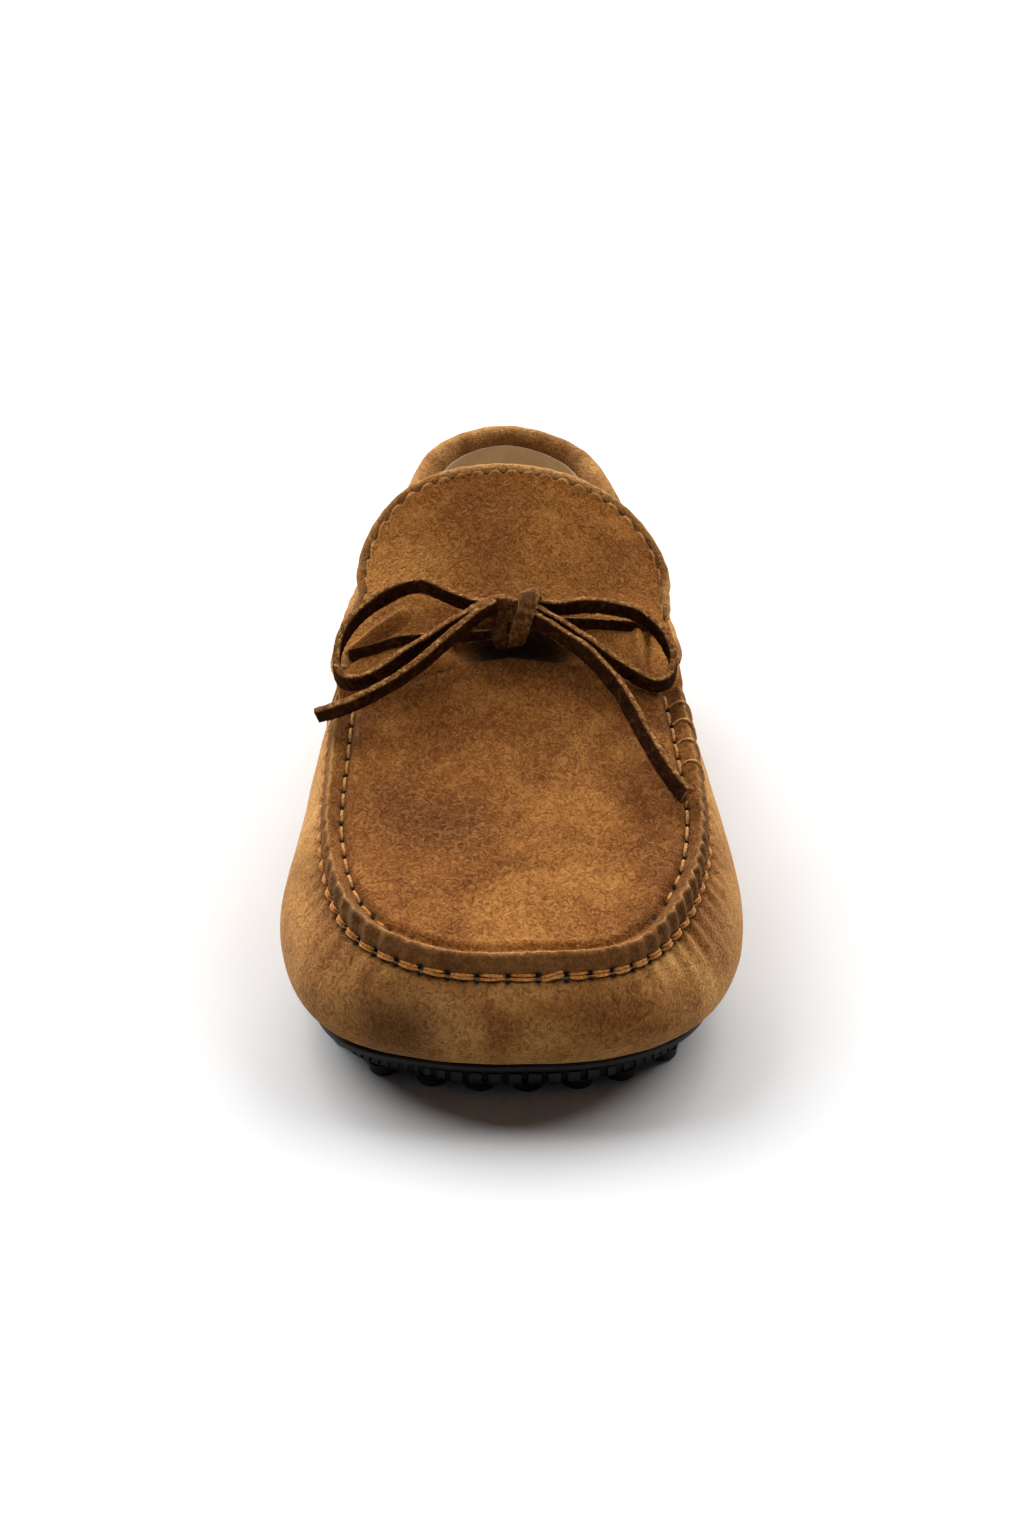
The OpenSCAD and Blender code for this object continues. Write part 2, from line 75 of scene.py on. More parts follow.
# Routes of the bow, from the knot outwards
LOOP_LEFT = np.array([
    (-3.9, -13, 73.5), (-8, -15, 72.5), (-14, -18.5, 70.3), (-20.5, -21.5, 67), (-26, -24, 64.5),
    (-32, -26, 60.5), (-38, -27, 57.5), (-43.5, -25.5, 56.2), (-46.2, -21, 58), (-45.5, -13.5, 62.5),
    (-41.5, -8, 67), (-35.5, -4, 70.5), (-29, -2.5, 73.3), (-23, -3, 74.3), (-16, -6, 72.5), (-10, -8.5, 71.2),
    (-4, -9.5, 70.8)], float)
TAIL_LEFT = np.array([
    (-3.6, -17.5, 74.8), (-7, -19.5, 74), (-11.5, -22.5, 71.5), (-16.5, -26, 68.5), (-22, -30, 65),
    (-27.5, -33.5, 62), (-33, -36, 59.5), (-39, -38, 57), (-44.5, -39, 55), (-50.5, -39, 53)], float)
LOOP_RIGHT = np.array([
    (6.6, -9.7, 71), (13.5, -9.8, 70.8), (20.5, -9.5, 71.5), (27, -9.5, 71), (34, -10.5, 69.5),
    (38.5, -12.5, 67), (42, -15.5, 64), (44, -20, 60), (43, -25, 57.3), (39.5, -28, 56.5), (35.5, -28, 58),
    (31.5, -26.5, 60), (27, -24, 62), (22.5, -21.5, 64.5), (17.5, -19, 67), (12.5, -17, 69.7),
    (6.6, -14.5, 72)], float)
TAIL_RIGHT = np.array([
    (6.6, -18.3, 71.3), (10.5, -20.5, 70), (15, -23.5, 68), (19.5, -27.5, 66.5), (24, -32.5, 64),
    (28.5, -38, 60.5), (32, -44.5, 57), (35, -51, 53.5), (38.5, -58, 50), (42, -64.5, 47), (45, -69, 45.4)], float)
# The two runs of the collar's lace in front, from the knot outwards
CROSSING_LEFT = np.array([
    (-2.5, -13.5, 65), (-12, -13.6, 64), (-22, -13.8, 63.6), (-30.5, -14, 62.8), (-36, -14, 60.8),
    (-42.5, -13, 58.6)], float)
CROSSING_RIGHT = np.array([(5.5, -10.5, 66), (12, -9.8, 66.5), (21, -9.5, 66), (30, -8.5, 65), (39.5, -6, 63.4)], float)
THROAT_Y = -21.0     # rear edge of the apron
LEATHER = 1.8        # thickness
PANEL_RISE = 4.2     # how far above the seam the apron's panel begins
ROLL = 3.8           # radius of the padded collar
GROUND = -2.0        # lower end of the nubs
LOW_BULGE, HIGH_BULGE = (1.25, 1.25, 0.2), (1.15, 1.15, 0.6)  # how the wall bellies out, in x, y and z
# The ground mount and the tongue's hinge, in the millimetres of this shape
MOUNT_X, MOUNT_Y, HINGE_Z = 0.5, -62.0, 75.7


def spline(a, b, c, d, t):
    return 0.5 * (2 * b + (c - a) * t + (2 * a - 5 * b + 4 * c - d) * t ** 2 + (3 * b - a - 3 * c + d) * t ** 3)


def closed(points, u):
    """Point on a closed curve, u counts its control points."""
    u = np.asarray(u, float)
    i = np.floor(u).astype(int)
    t = (u - i)[..., None]
    n = len(points)
    return spline(points[(i - 1) % n], points[i % n], points[(i + 1) % n], points[(i + 2) % n], t)


def opened(points, u):
    """Point on an open curve, u counts its control points."""
    u = np.asarray(u, float)
    n = len(points) - 1
    i = np.minimum(np.floor(u).astype(int), n - 1)
    t = (u - i)[..., None]
    return spline(points[np.maximum(i - 1, 0)], points[i], points[i + 1], points[np.minimum(i + 2, n)], t)


def along(points, count):
    return opened(points, np.linspace(0, len(points) - 1, count))


def run_of(points):
    """Distance along a dense curve from its start to each of its points."""
    return np.concatenate([[0], np.cumsum(np.linalg.norm(np.diff(points, axis=0), axis=1))])


def level(y):
    """Height of the instep along the middle of the shoe."""
    y = np.asarray(y, float)
    ys, zs = INSTEP[:, 0], INSTEP[:, 1]
    i = np.clip(np.searchsorted(ys, y, side="right") - 1, 0, len(ys) - 2)
    a, d = np.maximum(i - 1, 0), np.minimum(i + 2, len(ys) - 1)
    w = ys[i + 1] - ys[i]
    t = (y - ys[i]) / w
    m0 = (zs[i + 1] - zs[a]) / (ys[i + 1] - ys[a]) * w
    m1 = (zs[d] - zs[i]) / (ys[d] - ys[i]) * w
    return ((2 * t ** 3 - 3 * t ** 2 + 1) * zs[i] + (t ** 3 - 2 * t ** 2 + t) * m0
            + (3 * t ** 2 - 2 * t ** 3) * zs[i + 1] + (t ** 3 - t ** 2) * m1)


def saddle(x, y):
    """Height of the instep surface."""
    t = np.clip((np.asarray(y, float) + 128) / 140, 0, 1.2)
    return level(y) - (3 + 8 * t ** 1.5) * np.abs(np.asarray(x, float) / 45) ** 2.2


def wall(u, v):
    """Point on the outside of the upper: u runs round the shoe, v from the sole (0) to the top edge (1)."""
    f, w, t = closed(FEATHER, u), closed(WIDEST, u), closed(TOP, u)
    a = f + (w - f) * LOW_BULGE
    b = t + (w - t) * HIGH_BULGE
    v = np.asarray(v, float)[..., None]
    return (1 - v) ** 3 * f + 3 * (1 - v) ** 2 * v * a + 3 * (1 - v) * v ** 2 * b + v ** 3 * t


def unit(a):
    return a / np.maximum(np.linalg.norm(a, axis=-1, keepdims=True), 1e-9)


def wall_out(u, v):
    """Outward direction of the wall."""
    du = wall(u + 0.05, v) - wall(u - 0.05, v)
    dv = wall(u, np.minimum(v + 0.02, 1)) - wall(u, np.maximum(v - 0.02, 0))
    return unit(np.cross(du, dv))


def smooth(x, lo, hi):
    t = np.clip((np.asarray(x, float) - lo) / (hi - lo), 0, 1)
    return t * t * (3 - 2 * t)


def bell(x, width, power=2):
    """1 at zero, falling off to both sides; an even power above 2 makes the top flatter."""
    return np.exp(-(x / width) ** power)


def rounded(x):
    """Quarter circle from 0 to 1, for soft edges."""
    x = np.clip(x, 0, 1)
    return np.sqrt(x * (2 - x))


def lumps(points, size, seed=0.0):
    """Soft noise from -1 to 1 at each point, size is the width of a lump in millimetres."""
    flat = np.asarray(points, float).reshape(-1, 3) / size + seed
    return np.array([noise.noise(Vector(p)) for p in flat]).reshape(np.shape(points)[:-1])


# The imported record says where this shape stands, since its ground mount and its tongue joint are known points
_ground = frame["record"]["mounts"][0]["pos_m"]
_hinge = frame["record"]["behaviour"]["joints"][0]["pos_m"]
SHIFT = np.array([_ground[0] / MM - MOUNT_X, _ground[1] / MM - MOUNT_Y, _hinge[2] / MM - HINGE_Z])


def to_frame(p):
    return (np.asarray(p, float) + SHIFT) * MM


# ---------------- camera
# The photograph looks down on the toe from straight ahead
CAMERA_ELEVATION = math.radians(28)
CAMERA_DISTANCE = 0.640
CAMERA_AIM = Vector(to_frame((0.8, -43.8, 40)))
cam_data = bpy.data.cameras.new("camera")
cam_data.sensor_fit = "VERTICAL"
cam_data.sensor_height = 36.0
cam_data.lens = 56.95
cam_data.clip_start = 0.01
camera = bpy.data.objects.new("camera", cam_data)
bpy.context.scene.collection.objects.link(camera)
back = Vector((0, -math.cos(CAMERA_ELEVATION), math.sin(CAMERA_ELEVATION)))
camera.location = CAMERA_AIM + back * CAMERA_DISTANCE
camera.rotation_euler = (math.pi / 2 - CAMERA_ELEVATION, 0, 0)
bpy.context.scene.camera = camera


# ---------------- mesh helpers
def add_mesh(name, verts, faces, attributes=None, sharp=50):
    mesh = bpy.data.meshes.new(name)
    mesh.from_pydata([tuple(p) for p in to_frame(verts)], [], [tuple(f) for f in faces])
    for key, values in (attributes or {}).items():
        a = mesh.attributes.new(key, "FLOAT", "POINT")
        a.data.foreach_set("value", np.asarray(values, np.float32).ravel())
    mesh.validate()
    mesh.update()
    mesh.polygons.foreach_set("use_smooth", [True] * len(mesh.polygons))
    if sharp:
        mesh.set_sharp_from_angle(angle=math.radians(sharp))
    obj = bpy.data.objects.new(name, mesh)
    bpy.context.scene.collection.objects.link(obj)
    return obj


def quads(rows, cols, base=0, wrap_cols=False, flip=False):
    """Faces of a grid of vertices; wrap_cols closes every row to a ring."""
    out = []
    for i in range(rows - 1):
        for j in range(cols if wrap_cols else cols - 1):
            m = (j + 1) % cols
            a, b = base + i * cols, base + (i + 1) * cols
            f = (a + j, b + j, b + m, a + m)
            out.append(f[::-1] if flip else f)
    return out


def tube_faces(rings, sides):
    """Faces of a tube with both ends closed."""
    ends = [tuple(range(sides)), tuple(rings * sides - 1 - k for k in range(sides))]
    return quads(rings, sides, wrap_cols=True, flip=True) + ends


def shell(name, outer, inner, attributes=None, sharp=50, last_side=True):
    """Piece between two grids; outward is the cross product of row and column direction.

    last_side closes the side along the last column too.
    """
    r, c = outer.shape[:2]
    n = r * c
    verts = np.concatenate([outer.reshape(-1, 3), inner.reshape(-1, 3)])
    faces = quads(r, c) + quads(r, c, n, flip=True)
    for j in range(c - 1):
        faces.append((j, j + 1, n + j + 1, n + j))
        e = (r - 1) * c
        faces.append((e + j + 1, e + j, n + e + j, n + e + j + 1))
    for i in range(r - 1):
        a, b = i * c, (i + 1) * c
        faces.append((b, a, n + a, n + b))
        if last_side:
            faces.append((a + c - 1, b + c - 1, n + b + c - 1, n + a + c - 1))
    both = {k: np.tile(np.ravel(v), 2) for k, v in (attributes or {}).items()}
    return add_mesh(name, verts, faces, both, sharp)


def frames(path, up):
    """Tangent, side and up at every point of a path."""
    t = unit(np.gradient(path, axis=0))
    up = np.broadcast_to(np.asarray(up, float), path.shape)
    side = unit(np.cross(t, up))
    return t, side, np.cross(side, t)


def sweep_data(path, section, up=(0, 0, 1), scale=1.0):
    """Vertices and faces of a closed sweep. section is (m, 2): side and up offsets in millimetres."""
    _, side, high = frames(path, up)
    off = section[None] * np.broadcast_to(scale, len(path))[:, None, None]
    verts = path[:, None] + off[..., 0:1] * side[:, None] + off[..., 1:2] * high[:, None]
    return verts.reshape(-1, 3), tube_faces(len(path), len(section))


def circle(radius, count):
    a = np.arange(count) * 2 * math.pi / count
    return np.stack([np.cos(a), np.sin(a)], -1) * radius


def roll(name, path, up, radius, stretch, lump, depth, sides, shade=0.0):
    """Soft closed roll: radius at every point of its path, stretch sideways and upwards, lumps of a size and depth."""
    _, side, high = frames(path, up)
    ring = circle(1.0, sides) * stretch
    off = ring[None, :, 0:1] * side[:, None] + ring[None, :, 1:2] * high[:, None]
    verts = path[:, None] + radius[:, None, None] * off
    verts = verts + unit(verts - path[:, None]) * (lumps(verts, lump, 1.0) * depth)[..., None]
    zero = np.zeros((len(path), sides))
    return add_mesh(name, verts.reshape(-1, 3), tube_faces(len(path), sides), {"shade": zero + shade, "hole": zero}, 0)


def join_data(parts):
    """Vertices and faces of many small pieces as those of one."""
    verts, faces, base = [], [], 0
    for v, f in parts:
        verts.append(v)
        faces += [tuple(k + base for k in q) for q in f]
        base += len(v)
    return np.concatenate(verts), faces


def stations(curve, pitch):
    """Splits a dense curve into steps of about pitch; returns their number and a function from step to point."""
    length = run_of(curve)
    count = int(round(length[-1] / pitch))

    def at(k):
        s = np.clip(k / count, 0, 1) * length[-1]
        return np.stack([np.interp(s, length, curve[:, a]) for a in range(curve.shape[1])], -1)

    return count, at


# ---------------- materials
def rgb(*levels):
    """Linear colour from the usual 0 to 255 levels."""
    parts = [c / 255 for c in levels]
    return tuple(p / 12.92 if p <= 0.04045 else ((p + 0.055) / 1.055) ** 2.4 for p in parts) + (1,)


class Nodes:
    """Short names for building one node tree."""

    def __init__(self, name):
        self.mat = bpy.data.materials.new(name)
        self.mat.use_nodes = True
        self.tree = self.mat.node_tree
        self.bsdf = self.tree.nodes["Principled BSDF"]
        self.coords = self.tree.nodes.new("ShaderNodeTexCoord").outputs["Object"]

    def put(self, value, socket):
        """Links the output of a node to a socket, or sets a constant on it."""
        if isinstance(value, bpy.types.NodeSocket):
            self.tree.links.new(value, socket)
        else:
            socket.default_value = value

    def noise(self, scale, detail=4, rough=0.6, stretch=(1, 1, 1), distortion=0.0):
        mapping = self.tree.nodes.new("ShaderNodeMapping")
        mapping.inputs["Scale"].default_value = stretch
        self.put(self.coords, mapping.inputs["Vector"])
        n = self.tree.nodes.new("ShaderNodeTexNoise")
        for key, value in (("Scale", scale), ("Detail", detail), ("Roughness", rough), ("Distortion", distortion),
                           ("Vector", mapping.outputs[0])):
            self.put(value, n.inputs[key])
        return n.outputs["Fac"]

    def ramp(self, value, stops):
        r = self.tree.nodes.new("ShaderNodeValToRGB")
        els = r.color_ramp.elements
        while len(els) < len(stops):
            els.new(0.5)
        for e, (p, c) in zip(els, stops):
            e.position, e.color = p, c
        self.put(value, r.inputs[0])
        return r.outputs[0]

    def mix(self, kind, fac, a, b):
        m = self.tree.nodes.new("ShaderNodeMix")
        m.data_type = "RGBA"
        m.blend_type = kind
        for value, socket in ((fac, m.inputs[0]), (a, m.inputs[6]), (b, m.inputs[7])):
            self.put(value, socket)
        return m.outputs[2]

    def attribute(self, name):
        a = self.tree.nodes.new("ShaderNodeAttribute")
        a.attribute_name = name
        return a.outputs["Fac"]

    def bump(self, height, distance, strength=1.0, before=None):
        b = self.tree.nodes.new("ShaderNodeBump")
        b.inputs["Strength"].default_value = strength
        b.inputs["Distance"].default_value = distance
        self.put(height, b.inputs["Height"])
        if before is not None:
            self.put(before, b.inputs["Normal"])
        return b.outputs[0]

    def finish(self, colour, normal, roughness, **sockets):
        self.put(colour, self.bsdf.inputs["Base Color"])
        if normal is not None:
            self.put(normal, self.bsdf.inputs["Normal"])
        self.put(roughness, self.bsdf.inputs["Roughness"])
        for key, value in sockets.items():
            self.put(value, self.bsdf.inputs[key.replace("_", " ")])
        return self.mat


def suede(name, dark, mid, light, patch=30, sheen=0.5):
    """Brushed suede: soft patches, short curly strokes of nap and fine fibres.

    Attributes of the mesh paint shade into seams, grooves, creases, the roll's underside, stitch holes and the hollow
    below the knot, colour raw edges, and paint a pale highlight along the apron's ridge and the tongue's scallops.
    """
    n = Nodes(name)
    base = n.ramp(n.noise(patch, 3, 0.55, distortion=0.8), [(0.36, dark), (0.5, mid), (0.64, light)])
    strokes = n.noise(640, 2.5, 0.6, stretch=(1.0, 0.6, 1.0), distortion=1.7)
    between = [(0.34, (0.56, 0.52, 0.48, 1)), (0.52, (0.97, 0.97, 0.97, 1)), (0.70, (1.0, 1.0, 1.0, 1))]
    base = n.mix("MULTIPLY", 1.0, base, n.ramp(strokes, between))
    base = n.mix("SCREEN", 1.0, base, n.ramp(strokes, [(0.50, (0, 0, 0, 1)), (0.70, (0.085, 0.052, 0.022, 1))]))
    speck = n.noise(1700, 3, 0.75)
    base = n.mix("OVERLAY", 0.6, base, n.ramp(speck, [(0.34, (0.30, 0.29, 0.28, 1)), (0.66, (0.74, 0.72, 0.68, 1))]))
    raw = n.ramp(n.noise(520, 4, 0.7), [(0.3, rgb(72, 43, 20)), (0.7, rgb(136, 98, 60))])
    base = n.mix("MIX", n.attribute("raw"), base, raw)
    # painted shade from the mesh, then a painted highlight, then near-black painted shade in holes and below the knot
    base = n.mix("MULTIPLY", n.attribute("shade"), base, (0.26, 0.21, 0.18, 1))
    base = n.mix("MIX", n.attribute("lip_highlight"), base, rgb(196, 150, 96))
    base = n.mix("MIX", n.attribute("hole"), base, rgb(12, 6, 3))
    fine = n.bump(speck, 0.00020, 0.8)
    nap = n.bump(strokes, 0.0009, 0.85, fine)
    return n.finish(base, nap, 0.97, Sheen_Weight=sheen, Sheen_Roughness=0.5, Sheen_Tint=rgb(226, 186, 130),
                    Specular_IOR_Level=0.08)


def plain(name, colour, other, scale, bump_scale, bump_height, rough):
    """Two close colours in soft spots, with a fine grain."""
    n = Nodes(name)
    base = n.ramp(n.noise(scale, 4, 0.6), [(0.35, colour), (0.65, other)])
    return n.finish(base, n.bump(n.noise(bump_scale, 3, 0.6), bump_height, 0.8), rough, Specular_IOR_Level=0.2)


def rawhide(name):
    """Dark lace leather, paler and fuzzy along its cut edges."""
    n = Nodes(name)
    face = n.ramp(n.noise(420, 4, 0.7, distortion=0.8),
                  [(0.3, rgb(26, 11, 3)), (0.55, rgb(54, 27, 10)), (0.76, rgb(98, 58, 26))])
    edge = n.ramp(n.noise(700, 4, 0.75, distortion=0.6),
                  [(0.30, rgb(70, 39, 16)), (0.5, rgb(120, 76, 36)), (0.70, rgb(200, 152, 96))])
    base = n.mix("MIX", n.attribute("edge"), face, edge)
    fine = n.bump(n.noise(1300, 4, 0.75), 0.0005, 1.0)
    return n.finish(base, fine, 0.95, Specular_IOR_Level=0.06)


def thread_material(name, dark, light):
    n = Nodes(name)
    fibres = n.noise(1500, 2, 0.5)
    base = n.ramp(fibres, [(0.35, dark), (0.65, light)])
    return n.finish(base, n.bump(fibres, 0.0003, 0.9), 0.9, Specular_IOR_Level=0.12, Sheen_Weight=0.1)


def rubber(name):
    n = Nodes(name)
    base = n.ramp(n.noise(90, 4, 0.6), [(0.3, rgb(9, 9, 9)), (0.7, rgb(19, 19, 20))])
    grain = n.bump(n.noise(1800, 3, 0.6), 0.0001, 0.6)
    return n.finish(base, grain, 0.55, Specular_IOR_Level=0.4)


# copies of one suede: the apron's copy is darker, as painted shade, and the tongue's, walls' and trim's copies are
# paler, as painted light, each set for how brightly that part is lit
suede_apron = suede("suede_apron", rgb(100, 54, 18), rgb(126, 74, 28), rgb(152, 98, 44), patch=26, sheen=0.2)
suede_tongue = suede("suede_tongue", rgb(136, 80, 32), rgb(156, 97, 42), rgb(176, 118, 56), patch=22, sheen=0.2)
suede_wall = suede("suede_wall", rgb(130, 78, 34), rgb(164, 110, 56), rgb(192, 140, 80), sheen=0.6)
suede_trim = suede("suede_trim", rgb(124, 76, 34), rgb(156, 104, 54), rgb(182, 132, 76), patch=46)
# the lining's colour is made paler, as painted light on the inside of the shoe, which lies in shade
lining_mat = plain("lining_mat", rgb(222, 200, 168), rgb(240, 220, 190), 60, 900, 0.00015, 0.8)
foam_mat = plain("foam_mat", rgb(214, 205, 186), rgb(228, 220, 203), 200, 1500, 0.0002, 0.9)
board_mat = plain("board_mat", rgb(170, 150, 120), rgb(186, 168, 138), 300, 1200, 0.0001, 0.85)
rawhide_mat = rawhide("rawhide_mat")
thread_mat = thread_material("thread_mat", rgb(160, 96, 40), rgb(216, 152, 82))
pale_thread_mat = thread_material("pale_thread_mat", rgb(160, 104, 50), rgb(210, 154, 88))
tone_thread_mat = thread_material("tone_thread_mat", rgb(104, 66, 34), rgb(146, 100, 58))
rubber_mat = rubber("rubber_mat")


def dress(obj, material, body, replaces=()):
    """Gives a piece its material and body and hides the solids it stands for; a piece with no body is left unattached.
    """
    obj.data.materials.clear()
    obj.data.materials.append(material)
    if body:
        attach(obj, body)
    if replaces:
        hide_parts(*replaces)
    return obj


def sew(name, parts, material, body, node):
    """Makes one piece of a row of stitches."""
    verts, faces = join_data(parts)
    return dress(add_mesh(name, verts, faces, None, 60), material, body, [node])


# ---------------- bow: flat rawhide laces
LACE_WIDTH, LACE_THICK = 4.4, 2.1
CORNER_PULL = 0.081  # how far the corners of the strip are rounded in


def strip_section(width, thick, per_side=5):
    """Outline of a flat strip standing on its edge, and how much of each point is cut edge."""
    w, h = thick / 2, width / 2
    corners = [(w, -h), (w, h), (-w, h), (-w, -h)]
    pts, edge = [], []
    for k, (x0, y0) in enumerate(corners):
        x1, y1 = corners[(k + 1) % 4]
        for j in range(per_side):
            f = (j + 0.5) / per_side
            x, y = x0 + (x1 - x0) * f, y0 + (y1 - y0) * f
            pull = 1 - CORNER_PULL * (abs(x) / w) ** 6 * (abs(y) / h) ** 6
            pts.append((x * pull, y * pull))
            edge.append(float(k in (1, 3)))
    return np.array(pts), np.array(edge)


def strip_data(path, up, seed, width=LACE_WIDTH, thick=LACE_THICK, tip=False):
    """Vertices, faces and cut-edge amount of a fuzzy flat strip that stands on its edge along a path."""
    section, edge = strip_section(width, thick)
    n, m = len(path), len(section)
    _, side, high = frames(path, up)
    ring = path[:, None] + section[None, :, 0:1] * side[:, None] + section[None, :, 1:2] * high[:, None]
    rough = lumps(ring, 2.2, seed)[..., None] * 0.14 + lumps(ring, 0.45, seed + 9)[..., None] * 0.22
    body = lumps(path, 8, seed + 4)[:, None, None] * 0.12
    verts = ring + (ring - path[:, None]) * body + unit(ring - path[:, None]) * rough
    tone = np.broadcast_to(edge[None], (n, m)).copy()
    if tip:
        tone[-1] = 1.0
    return verts.reshape(-1, 3), tube_faces(n, m), tone.ravel()


def lace(name, path, up, seed, width=LACE_WIDTH, thick=LACE_THICK, tip=False):
    verts, faces, tone = strip_data(path, up, seed, width, thick, tip)
    return add_mesh(name, verts, faces, {"edge": tone}, sharp=55)


def path_length(path):
    return float(np.linalg.norm(np.diff(path, axis=0), axis=1).sum())


BOW = {  # route, up, far end, seed
    "bow_loop_left": (LOOP_LEFT, (0.0, -0.10, 1.0), "knot", 1.0),
    "bow_loop_right": (LOOP_RIGHT, (0.0, -0.10, 1.0), "knot", 2.0),
    "lace_tail_left": (TAIL_LEFT, (0.0, -0.3, 1.0), "bare", 3.0),
    "lace_tail_right": (TAIL_RIGHT, (0.6, -0.3, 0.7), "bare", 4.0),
}
for piece, (route, up, end, seed) in BOW.items():
    path = along(route, int(path_length(along(route, 200)) / 0.4))
    obj = lace("rawhide_" + piece, path, up, seed, tip=end == "bare")
    dress(obj, rawhide_mat, "root", [piece])
    to_frame(path[0])
    to_frame(path[::5])

# Knot: an upright wrap over the bundle, a small dark roll on its left and three runs of lace that pass through it.
# Each run is its points, width, thickness, up, seed and how pale its cut edges are
KNOT_RUNS = [
    ([(6.4, -8.6, 73.6), (6.0, -11.0, 75.6), (5.4, -14.6, 76.0), (4.6, -17.6, 73.8), (3.4, -19.0, 70.2),
      (2.4, -18.9, 66.8), (1.6, -16.9, 64.2), (1.0, -13.5, 63.4)], 4.6, 3.0, (1, 0.1, 0.15), 31.0, 1.0),
    ([(-1.0, -13.0, 70.0), (-2.2, -16.4, 68.8), (-2.6, -17.8, 66.4), (-1.6, -17.2, 64.2), (0.6, -15.2, 63.0)],
     3.8, 3.0, (1, 0, 0.3), 33.0, 0.3),
    ([(-4.6, -14.4, 74.2), (-1.5, -15.4, 75.2), (2.0, -15.0, 74.2), (5.5, -14, 72.6)],
     4.0, 2.4, (0, -0.3, 1), 35.0, 1.0),
    ([(-5.0, -11.0, 70.6), (0, -11.5, 71.0), (7.5, -10.6, 71.0)], 4.4, 2.8, (0, 0.35, 1), 36.0, 0.7),
    ([(-1.5, -14.5, 71.5), (3, -16.4, 71.6), (7.4, -17.2, 71.0)], 4.2, 2.6, (0, 0.35, 1), 37.0, 0.7)]
knot_parts, knot_edge = [], []
for points, width, thick, up, seed, paleness in KNOT_RUNS:
    points = np.array(points, float)
    path = along(points, int(path_length(along(points, 60)) / 0.5))
    v, f, edge = strip_data(path, up, seed, width, thick, True)
    knot_parts.append((v, f))
    knot_edge.append(np.maximum(edge * paleness, 0.5 * paleness))
v, f = join_data(knot_parts)
dress(add_mesh("rawhide_knot", v, f, {"edge": np.concatenate(knot_edge)}, 55), rawhide_mat, "root",
      ["lace_knot"])


# ---------------- walls of the upper
SEAM_END = 4.55
# Stitches are longest in front of the toe and shorter round the corners: place on the seam, pitch in millimetres
PITCH = np.array([(-4.55, 5.2), (-2.2, 5.6), (-1.3, 6.4), (-0.3, 7.3), (0.15, 7.0), (0.5, 5.4), (1.5, 4.6),
                  (2.5, 4.7), (4.55, 5.2)], float)
# Darker patches painted on the toe, partly blotches of the suede and partly painted shade: middle along u and v, width
# along u and v, depth
PATCHES = ((-1.18, 0.54, 0.55, 0.38, 1.15), (0.0, 0.6, 0.7, 0.35, 0.36), (0.9, 0.5, 0.5, 0.3, 0.12))
seam_u = np.linspace(-SEAM_END, SEAM_END, 1501)
seam_line = closed(TOP, seam_u)
seam_step = np.linalg.norm(np.diff(seam_line, axis=0), axis=1)
seam_part = seam_step / np.interp((seam_u[1:] + seam_u[:-1]) / 2, PITCH[:, 0], PITCH[:, 1])
seam_count = int(round(seam_part.sum()))
seam_number = np.concatenate([[0], np.cumsum(seam_part)]) * seam_count / seam_part.sum()


def seam_s(u):
    """Distance along the apron seam, counted in stitches."""
    return np.interp(u, seam_u, seam_number)


def seam_at(k):
    """Place on the seam of stitch number k."""
    return np.interp(k, seam_number, seam_u)


def seam_pitch(u):
    return np.interp(u, PITCH[:, 0], PITCH[:, 1])


def corner(u):
    """Strongest at the two corners of the toe, where the leather is gathered."""
    a = np.abs(u)
    return bell(a - 2.0, 0.95) + 0.25 * bell(a - 0.2, 1.2)


def near_hole(number, pitch, size):
    """1 at every stitch hole, falling off over size millimetres; number counts the stitches."""
    return bell((number - np.round(number)) * pitch, size)


def wall_piece(name, u0, u1, nu, nv, replaces, gathers=False, seed=0.0):
    # a gathered piece has closer rows towards its top edge
    vs = 1 - (1 - np.linspace(0, 1, nv)) ** 1.25 if gathers else np.linspace(0, 1, nv)
    u, v = np.meshgrid(np.linspace(u0, u1, nu), vs, indexing="ij")
    p, n = wall(u, v), wall_out(u, v)
    shade = np.zeros_like(u)
    hole = np.zeros_like(u)
    move = lumps(p, 26, seed) * 0.5 + lumps(p, 9, seed + 3) * 0.16
    if gathers:
        below = np.linalg.norm(p - p[:, -1:], axis=-1)  # distance down from the seam
        s = seam_s(u)
        phase = 2 * math.pi * s + 0.5 * lumps(p, 14, 7.0)
        reach = 3.2 + 4.5 * corner(u)
        uneven = 0.65 + 0.6 * lumps(np.stack([s, 0 * s, 0 * s], -1), 1.7, 50.5)
        strength = (0.12 + np.where(u > 0, 0.72, 0.42) * corner(u)) * np.exp(-(below / reach) ** 1.4) * uneven
        crease = np.cos(phase)
        move += strength * crease
        move -= 0.40 * bell(below, 1.3) * (np.abs(u) < SEAM_END)
        pit = near_hole(s, seam_pitch(u), 0.8) * bell(below - 0.3, 1.1)
        pit *= np.abs(u) < SEAM_END
        move -= 0.9 * pit
        # painted shade: the stitch holes near black, and darker along the foot of the seam and in the troughs of the
        # gathers
        hole = np.clip(pit * 1.7, 0, 1)
        shade = 0.26 * bell(below, 2.0) + 0.18 * strength * (1 - crease)
    # painted shade along the lower edge, where the wall meets the sole
    shade = shade + 0.25 * bell(v, 0.05)
    if gathers:
        # darker patches on the toe, partly the suede's blotches and partly painted shade
        blur = 1 + 0.5 * lumps(p, 16, 60.0)
        for uc, vc, uw, vw, deep in PATCHES:
            shade = shade + deep * blur * bell(u - uc, uw) * bell(v - vc, vw)
    obj = shell(name, p + n * move[..., None], p - n * LEATHER, {"shade": np.clip(shade, 0, 1), "hole": hole})
    return dress(obj, suede_wall, "root", replaces)


